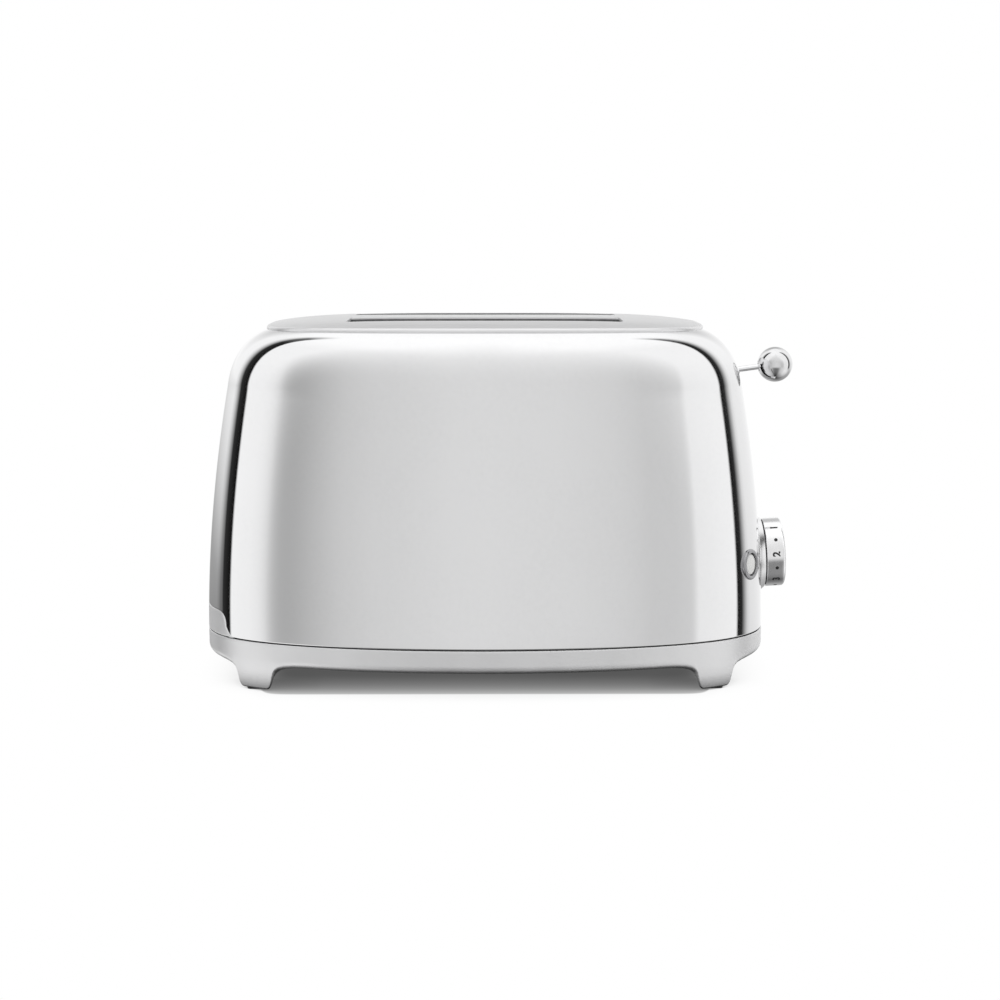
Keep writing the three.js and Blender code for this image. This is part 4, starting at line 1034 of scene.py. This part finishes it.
def makeLever(ballRadius, rodRadius, rodAngle, neck, ballSteps):
    ballBox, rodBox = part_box("lever_ball"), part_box("lever_rod")
    slope = math.radians(rodAngle)
    centre = Vector((ballBox[1].x - ballRadius, 0, middleOf(ballBox).z))
    place = axisPlace(centre, (math.cos(slope), 0, math.sin(slope)), (0, 1, 0))
    bore = rodRadius + 0.15 * mm
    start = -math.sqrt(ballRadius ** 2 - neck ** 2)
    profile = [(0, start + 5 * mm), (bore, start + 5 * mm), (bore, start - 0.2 * mm)]
    profile += roundCorner((neck - 0.5 * mm, start + 0.3 * mm), 0.5 * mm, -90, 0, 3)
    first = math.degrees(math.asin((neck + 0.35 * mm) / ballRadius))
    profile += roundCorner((0, 0), ballRadius, first - 90, 90, ballSteps)[:-1] + [(0, ballRadius)]
    ball = turnedPiece("leverBall", profile, place, ballChromePaintedShade, 96)
    inner, outer = (rodBox[0].x - centre.x) / math.cos(slope), start + 4.6 * mm
    profile = [(0, inner), (rodRadius - 0.3 * mm, inner)]
    profile += [(rodRadius, mixed(inner + 0.3 * mm, outer, i / 12)) for i in range(13)] + [(0, outer)]
    rod = turnedPiece("leverRod", profile, place, chromeTrim, 40)
    settle(ball, "carriage", "chrome_trim", "lever_ball")
    settle(rod, "carriage", "chrome_trim", "lever_rod")


makeLever(**leverSizes)
print("lever made")


# Browning knob with its numbers, and the bezel behind it
knobSizes = {
    "radius": 19.5 * mm,
    "back": 4.7 * mm,
    "front": 15.3 * mm,
    "corner": 1.7 * mm,
    "recess": 1.2 * mm,
    "wall": 2.2 * mm,
    "boss": 6 * mm,
    "bore": 3.2 * mm,
}
numberSizes = {
    "height": 3.95 * mm,
    "bolder": 0.24 * mm,
    "half": 0.1 * mm,  # of the flat letter's thickness
    "lift": 0.04 * mm,
    "dotRadius": 1.0 * mm,
    "step": 48,
    "count": 6,
    "up": 5.4,
}
bezelSizes = {
    "radius": 22.6 * mm,
    "top": 20.2 * mm,
    "length": 3.9 * mm,
    "bore": 5.2 * mm,
    "corner": 0.6 * mm,
    "shadeRingRadius": 18.7 * mm,
}


def makeKnob(radius, back, front, corner, recess, wall, boss, bore):
    face, inside = front - recess, radius - wall
    profile = [(0, front - 5 * mm), (bore, front - 5 * mm), (bore, back), (boss, back),
               (boss, face - wall), (inside, face - wall), (inside, back + 0.2 * mm),
               (inside + 0.2 * mm, back), (radius - 0.3 * mm, back), (radius, back + 0.3 * mm)]
    profile += [(radius, mixed(back + 0.3 * mm, front - corner, i / 8)) for i in range(1, 8)]
    profile += roundCorner((radius - corner, front - corner), corner, 0, 90, 8)
    profile += [(radius - 2.6 * mm, front), (radius - 3.1 * mm, front - 0.25 * mm),
                (radius - 3.8 * mm, face + 0.1 * mm)]
    profile += [((radius - 4.5 * mm) * (6 - i) / 6, face) for i in range(7)]
    knob = turnedPiece("browningKnob", profile, knobPlace, knobChrome, 128)
    settle(knob, "knob", "chrome_trim", "browning_knob")


def makeNumbers(height, bolder, half, lift, dotRadius, step, count, up):
    radius = knobSizes["radius"]
    middle = mixed(knobSizes["back"], knobSizes["front"], 0.51)
    # the angle on the knob that faces the front, and the way that the numbers run down from it
    turned = knobPlace.inverted().to_3x3()
    facing, rising = turned @ Vector((0, -1, 0)), turned @ Vector((0, 0, 1))
    start = math.atan2(facing.y, facing.x)
    way = 1 if math.sin(math.atan2(rising.y, rising.x) - start) > 0 else -1
    marks = []

    def wrap(mesh, steps):
        # flat lettering to the knob's side: x runs round it, y runs towards the body
        turn = start + way * math.radians(up - (steps - 1) * step)
        for vertex in mesh.vertices:
            x, y, z = vertex.co
            angle = turn + way * x / radius
            reach = radius + (lift if z > 0 else -lift)
            vertex.co = knobPlace @ Vector((reach * math.cos(angle), reach * math.sin(angle), middle - y))
        marks.append(addObject("mark", mesh))

    for i in range(count):
        text = bpy.data.curves.new("digit", "FONT")
        text.body = str(i + 1)
        text.size = height / 0.7
        text.align_x = text.align_y = "CENTER"
        text.extrude = half
        text.offset = bolder
        text.resolution_u = 4
        holder = addObject("digit", text)
        graph = bpy.context.evaluated_depsgraph_get()
        wrap(bpy.data.meshes.new_from_object(holder.evaluated_get(graph)), i)
        bpy.data.objects.remove(holder)
        bpy.data.curves.remove(text)
        if i < count - 1:
            dot = makeCylinder(flat, dotRadius, -half, half, 28)
            wrap(dot.data.copy(), i + 0.5)
            drop(dot)
    numbers = joinPieces("knobNumbers", marks, blackPrint)
    tidyMesh(numbers)
    smooth(numbers, 30)
    settle(numbers, "knob", "black_plastic")


def makeBezel(radius, top, length, bore, corner, shadeRingRadius):
    flatTop = top - corner
    profile = [(bore, 0.4 * mm)] + [(mixed(bore, flatTop, i / 5), length) for i in range(5)]
    profile += roundCorner((flatTop, length - corner), corner, 90, 25, 4)
    profile += [(radius, 0.65 * mm), (radius, -8 * mm), (bore, -8 * mm), (bore, 0.4 * mm)]
    bezel = turnedPiece("knobBezel", profile, knobPlace, satinKnob, 128)
    # its foot follows the wall
    rows = [planRing(wallLevel(mixed(seam - 20 * mm, 0.13, i / 23), 0.3 * mm)) for i in range(24)]
    cutAway(bezel, [makePiece("wallForm", *skinRings(rows))])
    smooth(bezel, 30)
    settle(bezel, "root", "chrome_trim", "knob_bezel")

    # painted shade: a dark ring in the gap between bezel and knob
    low, high, inner = length - 0.3 * mm, knobSizes["back"] - 0.25 * mm, bore + 0.2 * mm
    profile = [(inner, low), (shadeRingRadius, low), (shadeRingRadius, high), (inner, high), (inner, low)]
    settle(turnedPiece("knobGapShadeRing", profile, knobPlace, blackPlastic, 96), "root", "black_plastic")


makeKnob(**knobSizes)
makeNumbers(**numberSizes)
makeBezel(**bezelSizes)
print("knob made")


# Push buttons in their rings
buttonSizes = {
    "radius": 5.65 * mm,
    "stand": 0.7 * mm,
    "cap": 4 * mm,
    "shoulder": 1.1 * mm,
    "corner": 0.7 * mm,
    "crown": 0.4 * mm,
    "stem": 2 * mm,
    "stemLength": 1.3 * mm,
    "ringRadius": 8.4 * mm,
    "ringBarrel": 7.2 * mm,
    "ringHeight": 1.1 * mm,
    "ringDepth": 4 * mm,
    "ringSeat": 1.4 * mm,
    "gap": 0.45 * mm,
}


def makeButton(word, radius, stand, cap, shoulder, corner, crown, stem, stemLength, ringRadius,
               ringBarrel, ringHeight, ringDepth, ringSeat, gap):
    place = buttonPlace(word)
    back, flatRadius = stand - cap, radius - corner
    profile = [(0, back - stemLength), (stem, back - stemLength), (stem, back), (radius, back),
               (radius, stand - shoulder)]
    profile += roundCorner((flatRadius, stand - shoulder), corner, 10, 80, 6)
    profile += [(flatRadius * (5 - i) / 5, stand - crown + crown * (1 - (1 - i / 5) ** 2))
                for i in range(1, 6)]
    button = turnedPiece(word + "Button", profile, place, whiteButton, 72)
    settle(button, word + "_button", "white_button", "button_" + word)

    bore = radius + gap
    profile = [(bore, -ringDepth), (ringBarrel, -ringDepth), (ringBarrel, -ringSeat),
               (ringRadius, -ringSeat), (ringRadius, ringHeight - 1 * mm)]
    profile += roundCorner((ringRadius - 1 * mm, ringHeight - 1 * mm), 1 * mm, 0, 90, 7)
    profile += roundCorner((bore + 0.4 * mm, ringHeight - 0.4 * mm), 0.4 * mm, 90, 180, 4)
    profile += [(bore, -ringDepth)]
    ring = turnedPiece(word + "ButtonRing", profile, place, ringSatinPaintedShade, 72)
    settle(ring, "root", "chrome_trim", "button_ring_" + word)


makeButton("front", **buttonSizes)
makeButton("rear", **buttonSizes)
print("buttons made")


# Geometry trees for what repeats; all sizes and places are inputs
def newTree(name, inputs):
    rowInputs = {"Count": 9, "First": (0, 0, 0), "Step": (0, 0, 0)}
    return newGroup(name, "GeometryNodeTree", {**rowInputs, **inputs, "Material": "Material"},
                    {"Geometry": "Geometry"})


def endTree(tree, start, end, geometry):
    whole = addNode(tree, "GeometryNodeRealizeInstances", {"Geometry": geometry})
    paint = addNode(tree, "GeometryNodeSetMaterial",
                    {"Geometry": whole.outputs[0], "Material": start["Material"]})
    setInputs(tree, end, {0: paint.outputs[0]})
    return tree


def copiesOf(tree, shape, count, first, step, **turned):
    # copies of a shape at first, first + step and so on
    line = addNode(tree, "GeometryNodeMeshLine", {"Count": count, "Start Location": first, "Offset": step},
                   mode="OFFSET", count_mode="TOTAL")
    return addNode(tree, "GeometryNodeInstanceOnPoints",
                   {"Points": line.outputs[0], "Instance": shape, **turned}).outputs[0]


def rowOf(tree, start, shape, **turned):
    return copiesOf(tree, shape, start["Count"], start["First"], start["Step"], **turned)


def wireAlong(tree, curve, radius, sides=10):
    ring = addNode(tree, "GeometryNodeCurvePrimitiveCircle", {"Resolution": sides, "Radius": radius})
    return addNode(tree, "GeometryNodeCurveToMesh", {"Curve": curve, "Profile Curve": ring.outputs[0],
                                                     "Fill Caps": True}).outputs[0]


def added(tree, first, second):
    return addNode(tree, "ShaderNodeVectorMath", {0: first, 1: second}, operation="ADD").outputs[0]


def bentCurve(tree, start, middle, end, steps):
    return addNode(tree, "GeometryNodeCurveQuadraticBezier",
                   {"Resolution": steps, "Start": start, "Middle": middle, "End": end}).outputs[0]


def makeCageTree():
    # upright wires that bow out a little, between two rails
    tree, start, end = newTree("cageWires", {
        "Rise": (0, 0, 0), "Bow": (0, 0, 0), "Wire Radius": 0.0,
        "Rail Start": (0, 0, 0), "Rail End": (0, 0, 0), "Rail Radius": 0.0})
    belly = added(tree, scaled(tree, start["Rise"], 0.5), start["Bow"])
    bent = bentCurve(tree, (0, 0, 0), belly, start["Rise"], 12)
    wires = rowOf(tree, start, wireAlong(tree, bent, start["Wire Radius"]))
    rail = addNode(tree, "GeometryNodeCurvePrimitiveLine",
                   {"Start": start["Rail Start"], "End": start["Rail End"]}).outputs[0]
    rails = copiesOf(tree, wireAlong(tree, rail, start["Rail Radius"], 12), 2, (0, 0, 0), start["Rise"])
    both = addNode(tree, "GeometryNodeJoinGeometry", {0: wires})
    setInputs(tree, both, {0: rails})
    return endTree(tree, start, end, both.outputs[0])


def makeRibbonTree():
    # flat turns round a card, a little aslant
    tree, start, end = newTree("ribbonTurns", {"Size": (0, 0, 0), "Slant": 0.0})
    turn = addNode(tree, "GeometryNodeMeshCube", {"Vertices X": 24, "Size": start["Size"]})
    slant = addNode(tree, "ShaderNodeCombineXYZ", {"Y": start["Slant"]})
    return endTree(tree, start, end, rowOf(tree, start, turn.outputs[0], Rotation=slant.outputs[0]))


def makeRestTree():
    # cross bars with turned-up ends on a carrying strip
    tree, start, end = newTree("restBars", {"Width": (0, 0, 0), "Lift": (0, 0, 0), "Bar Radius": 0.0})
    tips = [added(tree, side, start["Lift"]) for side in (start["Width"], scaled(tree, start["Width"], -1))]
    bent = bentCurve(tree, tips[0], (0, 0, 0), tips[1], 14)
    return endTree(tree, start, end, rowOf(tree, start, wireAlong(tree, bent, start["Bar Radius"])))


def makeBeadTree():
    # long pressed beads in a row
    tree, start, end = newTree("pressedBeads", {"Size": (0, 0, 0)})
    bead = addNode(tree, "GeometryNodeMeshUVSphere", {"Segments": 24, "Rings": 12, "Radius": 0.5})
    return endTree(tree, start, end, rowOf(tree, start, bead.outputs[0], Scale=start["Size"]))


def grow(name, tree, body, slot, *nodes, **values):
    # a piece from a tree, with the inputs' values
    piece = addObject(name, bpy.data.meshes.new(name))
    step = piece.modifiers.new("grow", "NODES")
    step.node_group = tree
    sockets = {item.name: item.identifier for item in tree.interface.items_tree if item.in_out == "INPUT"}
    for key, value in values.items():
        step[sockets[key.replace("_", " ")]] = value
    bake(piece)
    tidyMesh(piece)
    smooth(piece, 40)
    settle(piece, body, slot, *nodes)


# Inside of the oven: cages, heaters, bread rests, pressed beads
cageSizes = {"wires": 9, "span": 144 * mm, "radius": 0.75 * mm, "bow": 1.2 * mm}
heaterSizes = {"turns": 13, "half": 0.5 * mm, "ribbon": 2.2 * mm, "ribbonOut": 0.12 * mm, "slant": 0.012,
               "corner": 4 * mm, "notch": 1.2 * mm, "notchGap": 0.3 * mm, "margin": 7 * mm}
restSizes = {"bars": 9, "span": 136 * mm, "radius": 0.9 * mm, "lift": 1.2 * mm, "half": 0.6 * mm}
beadSizes = {"count": 7, "wide": 5 * mm, "high": 1.2 * mm, "margin": 10 * mm}
standing = Matrix(((1, 0, 0, 0), (0, 0, -1, 0), (0, 1, 0, 0), (0, 0, 0, 1)))  # (x, z, -y) to (x, y, z)


def makeCages(wires, span, radius, bow):
    tree = makeCageTree()
    for word, side in (("front", -1), ("rear", 1)):
        for part in ("inner", "outer"):
            node = word + "_cage_" + part
            low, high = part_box(node)
            y, rail = (low.y + high.y) / 2, (high.y - low.y) / 2
            away = side if part == "outer" else -side  # the cages bow away from the bread
            grow("cage." + word + "." + part, tree, word + "_" + part + "_guide", "steel_wire", node,
                 Count=wires, First=(middleX - span / 2, y, low.z + rail), Step=(span / (wires - 1), 0, 0),
                 Rise=(0, 0, high.z - low.z - 2 * rail), Bow=(0, bow * away, 0), Wire_Radius=radius,
                 Rail_Start=(low.x, y, low.z + rail), Rail_End=(high.x, y, low.z + rail),
                 Rail_Radius=rail, Material=steelWire)


def makeHeaters(turns, half, ribbon, ribbonOut, slant, corner, notch, notchGap, margin):
    tree = makeRibbonTree()
    for word in ("front", "centre", "rear"):
        low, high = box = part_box("heater_" + word)
        middle = middleOf(box)
        pitch = (high.z - low.z - 2 * margin) / turns
        first = low.z + margin + pitch / 2
        notchHalf = ribbon / 2 + notchGap
        # card with a notch at both ends for each turn
        right = [(high.x - corner, low.z), (high.x, low.z + corner)]
        for z in [first + i * pitch for i in range(turns)]:
            right += [(high.x, z - notchHalf), (high.x - notch, z - notchHalf),
                      (high.x - notch, z + notchHalf), (high.x, z + notchHalf)]
        right += [(high.x, high.z - corner), (high.x - corner, high.z)]
        outline = right + [(low.x + high.x - x, z) for x, z in reversed(right)]
        card = extrudeShape("heaterCard." + word, outline, standing, -middle.y - half, -middle.y + half,
                            micaCard)
        settle(card, "root", "mica_card", "heater_" + word)
        grow("heaterRibbon." + word, tree, "root", "mica_card",
             Count=turns, First=(middle.x, middle.y, first), Step=(0, 0, pitch),
             Size=(high.x - low.x - 2 * notch + 0.3 * mm, 2 * (half + ribbonOut), ribbon),
             Slant=slant, Material=heaterRibbon)


def makeRests(bars, span, radius, lift, half):
    tree = makeRestTree()
    for word in ("front", "rear"):
        low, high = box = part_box("bread_rest_" + word)
        middle = middleOf(box)
        outline = roundedBox((middle.x, middle.z - radius / 2), high.x - low.x, high.z - low.z - radius,
                             2 * mm, 6, 4 * mm)
        strip = extrudeShape("restStrip." + word, outline, standing, -middle.y - half, -middle.y + half,
                             platedSheet)
        settle(strip, "carriage", "steel_wire")
        grow("restBars." + word, tree, "carriage", "steel_wire", "bread_rest_" + word,
             Count=bars, First=(middleX - span / 2, middle.y, high.z - lift),
             Step=(span / (bars - 1), 0, 0), Width=(0, (high.y - low.y) / 2 - radius, 0),
             Lift=(0, 0, lift - radius), Bar_Radius=radius, Material=steelWire)


def makeBeads(count, wide, high, margin):
    tree = makeBeadTree()
    for word in ("front", "rear"):
        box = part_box("reflector_" + word)
        size, middle = box[1] - box[0], middleOf(box)
        step = size.x / count
        y = box[1].y if word == "front" else box[0].y
        grow("reflectorBeads." + word, tree, "root", "plated_sheet",
             Count=count, First=(box[0].x + step / 2, y, middle.z + 8 * mm), Step=(step, 0, 0),
             Size=(wide, high, size.z * 0.66), Material=platedSheet)
    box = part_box("crumb_tray")
    size = box[1] - box[0]
    step = (size.x - 2 * margin) / count
    grow("trayBeads", tree, "tray", "plated_sheet",
         Count=count, First=(box[0].x + margin + step / 2, 0, box[0].z + 0.9 * mm), Step=(step, 0, 0),
         Size=(wide, size.y * 0.8, high), Material=platedSheet)


makeCages(**cageSizes)
makeHeaters(**heaterSizes)
makeRests(**restSizes)
makeBeads(**beadSizes)
print("oven made")


# Finishes of the solids that stay as they are
nodeFinish = [
    (platedSheet, ["bottom_plate", "end_frame_left", "end_frame_right", "reflector_front",
                   "reflector_rear", "tray_runner_front", "tray_runner_rear", "carriage_bracket",
                   "crumb_tray", "magnet_core", "keeper_plate"]),
    (steelWire, ["guide_rod", "return_spring", "knob_shaft"]),
    (blackRubber, ["lever_slot_guard"]),
    (blackPlastic, ["cord_gland", "potentiometer", "button_switch_front", "button_switch_rear",
                    "guide_bush"]),
    (whiteInsulator, ["terminal_block"]),
    (circuitBoard, ["control_board"]),
    (copperWinding, ["magnet_coil"]),
]
for finish, names in nodeFinish:
    for name in names:
        materials = frame["nodes"][name].data.materials
        materials.clear()
        materials.append(finish)
print("solids dressed")


# Studio: white ground with a painted shadow under the object, and a light tent with flags
studio = {
    "floorTone": 0.85,
    "reach": 12,
    # painted shadow: the floor's tone by how open the air above it is, and below the base by the place in its
    # plan
    "shadeDistance": 0.025,
    "shade": [(0, 0.2), (0.2, 0.7), (0.4, 0.92), (0.6, 0.98), (0.8, 1), (1, 1)],
    "paintedShadowWide": 0.82,
    "paintedShadowPower": 16,
    "under": [(0, 0.1), (0.03, 0.11), (0.09, 0.16), (0.17, 0.22), (0.28, 0.31), (0.4, 0.45), (0.47, 0.53),
              (0.52, 0.98), (1, 1)],
}
tent = {
    # tones by turn, in degrees from the front (left is negative), or by rise above the floor
    "walls": [(-180, 1.02), (-120, 1.02), (-94, 1.1), (-70, 1.06), (-64, 1.01), (-61, 0.96), (-58, 0.87),
              (-55.5, 0.72), (-53, 0.6), (-51, 0.545), (-49, 0.51), (-46, 0.5), (-43, 0.51), (-40, 0.54),
              (-34, 0.62), (-28.5, 0.7), (-20, 0.77), (-15, 0.79), (-6, 0.84), (0, 0.85), (13, 0.83),
              (25, 0.78), (34, 0.71), (42, 0.715), (50, 0.76), (53.5, 1.0), (73, 1.05), (88, 1.08),
              (112, 0.82), (150, 0.86), (168, 0.95), (180, 1.02)],
    "roof": [(-90, 1.12), (50, 1.12), (65, 1.22), (90, 1.26)],
    "ground": [(-180, 0.5), (-150, 0.8), (-120, 1.1), (-60, 1.2), (-46, 1.45), (-38, 1.05), (-25, 0.42),
               (-15, 0.25), (0, 0.19), (15, 0.25), (34, 0.74), (57, 0.95), (73, 1.1), (95, 0.95),
               (115, 0.55), (150, 0.4), (180, 0.5)],
    "groundDepth": [(-90, 0.06), (-80, 0.16), (-64, 0.5), (-50, 0.85), (-35, 1)],
    "groundStart": (-27, -11),
    # what darkens the walls: each pair holds a share by turn and a share by rise
    "darker": [
        ([(-180, 0), (-160, 1), (-113, 1), (-105, 0), (180, 0)],
         [(-12, 0.72), (-8, 0.62), (-4, 0.35), (0, 0.15), (5, 0)]),
        ([(-124, 0), (-118, 0.2), (-112, 0.6), (-107, 0.97), (-94, 0.995), (-92, 0), (87.5, 0),
          (90, 0.99), (97, 0.97), (102, 0.6), (108, 0.15), (114, 0)],
         [(50, 1), (64, 0.85), (74, 0)]),
        ([(-180, 1), (-165, 0.9), (-140, 0), (140, 0), (165, 0.9), (180, 1)],
         [(4, 0), (11, 0.12), (17, 0.25), (28, 0.5), (48, 0.5), (56, 0)]),
    ],
}


def tonesBy(tree, angle, stops, half):
    # a ramp over the angles from -half to half, in degrees
    share = spread(tree, angle, -half, half)
    return rampOf(tree, share, [((at + half) / (2 * half), tone) for at, tone in stops])


def blendTones(tree, value, start, end, low, high):
    # the low tone up to start, the high tone from end on
    share = addNode(tree, "ShaderNodeMapRange", {"Value": value, "From Min": start, "From Max": end},
                    interpolation_type="SMOOTHSTEP")
    return addNode(tree, "ShaderNodeMix", {"Factor": share.outputs["Result"], 6: low, 7: high},
                   data_type="RGBA").outputs[2]


def lookOrLight(tree, light, look):
    # the camera sees the look, all else the light
    ray = addNode(tree, "ShaderNodeLightPath").outputs["Is Camera Ray"]
    return addNode(tree, "ShaderNodeMixShader", {0: ray, 1: light.outputs[0], 2: look.outputs[0]}).outputs[0]


def makeFloor():
    reach = studio["reach"]
    mesh = bpy.data.meshes.new("floor")
    mesh.from_pydata([(-reach, -reach, 0), (reach, -reach, 0), (reach, reach, 0), (-reach, reach, 0)],
                     [], [(0, 1, 2, 3)])
    floor = addObject("floor", mesh)
    material, tree, shader, place = startFinish("floorPaper")
    tone = studio["floorTone"]
    setInputs(tree, shader, {"Base Color": (tone, tone, tone, 1), "Roughness": 0.9,
                             "Specular IOR Level": 0})
    openness = addNode(tree, "ShaderNodeAmbientOcclusion", {"Distance": studio["shadeDistance"]}, samples=24)
    shade = rampOf(tree, openness.outputs["AO"], studio["shade"])
    parts = addNode(tree, "ShaderNodeSeparateXYZ", {0: place}).outputs
    form = bodyForm
    plan = []
    for away, half, power in (
            (reckon(tree, "SUBTRACT", parts["X"], middleX), form["halfX"] * studio["paintedShadowWide"],
             form["endPower"] * studio["paintedShadowPower"]),
            (parts["Y"], form["halfY"], form["facePower"])):
        share = reckon(tree, "DIVIDE", reckon(tree, "ABSOLUTE", away), half)
        plan.append(reckon(tree, "POWER", share, power))
    # painted shadow under the base, by the place in its plan
    below = rampOf(tree, reckon(tree, "ADD", *plan), studio["under"])
    # the camera sees the floor glowing, darkened by the painted shadow
    white = addNode(tree, "ShaderNodeEmission", {"Strength": 1, "Color": scaled(tree, shade, below)})
    setInputs(tree, tree.nodes["Material Output"], {"Surface": lookOrLight(tree, shader, white)})
    floor.data.materials.append(material)
    floor.visible_glossy = False


def makeWorld():
    world = bpy.data.worlds.new("studioWorld")
    bpy.context.scene.world = world
    world.use_nodes = True
    tree = world.node_tree
    tree.nodes.clear()
    place = addNode(tree, "ShaderNodeTexCoord").outputs["Generated"]
    parts = addNode(tree, "ShaderNodeSeparateXYZ", {0: place}).outputs
    degrees = 180 / math.pi
    forward = reckon(tree, "MULTIPLY", parts["Y"], -1)
    turn = reckon(tree, "MULTIPLY", reckon(tree, "ARCTAN2", parts["X"], forward), degrees)
    rise = reckon(tree, "MULTIPLY", reckon(tree, "ARCSINE", parts["Z"]), degrees)
    aside = reckon(tree, "MAXIMUM", reckon(tree, "MULTIPLY", turn, -1), reckon(tree, "MULTIPLY", turn, 1.25))

    # the walls turn into the roof lower down at the sides
    liftStart = reckon(tree, "SUBTRACT", 20, reckon(tree, "MULTIPLY", aside, 0.38))
    liftEnd = reckon(tree, "MAXIMUM", reckon(tree, "SUBTRACT", 95, aside), 30)
    above = blendTones(tree, rise, liftStart, liftEnd, tonesBy(tree, turn, tent["walls"], 180),
                       tonesBy(tree, rise, tent["roof"], 90))
    for turnStops, riseStops in tent["darker"]:
        share = reckon(tree, "MULTIPLY", tonesBy(tree, turn, turnStops, 180),
                       tonesBy(tree, rise, riseStops, 90))
        above = scaled(tree, above, reckon(tree, "SUBTRACT", 1, share))
    ground = scaled(tree, tonesBy(tree, turn, tent["ground"], 180),
                    tonesBy(tree, rise, tent["groundDepth"], 90))
    final = blendTones(tree, rise, *tent["groundStart"], ground, above)
    tones = addNode(tree, "ShaderNodeBackground", {"Strength": 1, "Color": final})
    white = addNode(tree, "ShaderNodeBackground", {"Strength": 1, "Color": (1, 1, 1, 1)})
    setInputs(tree, addNode(tree, "ShaderNodeOutputWorld"), {"Surface": lookOrLight(tree, tones, white)})


makeFloor()
makeWorld()
bpy.context.scene.view_settings.view_transform = "Standard"
print("studio made")

bpy.context.view_layer.update()
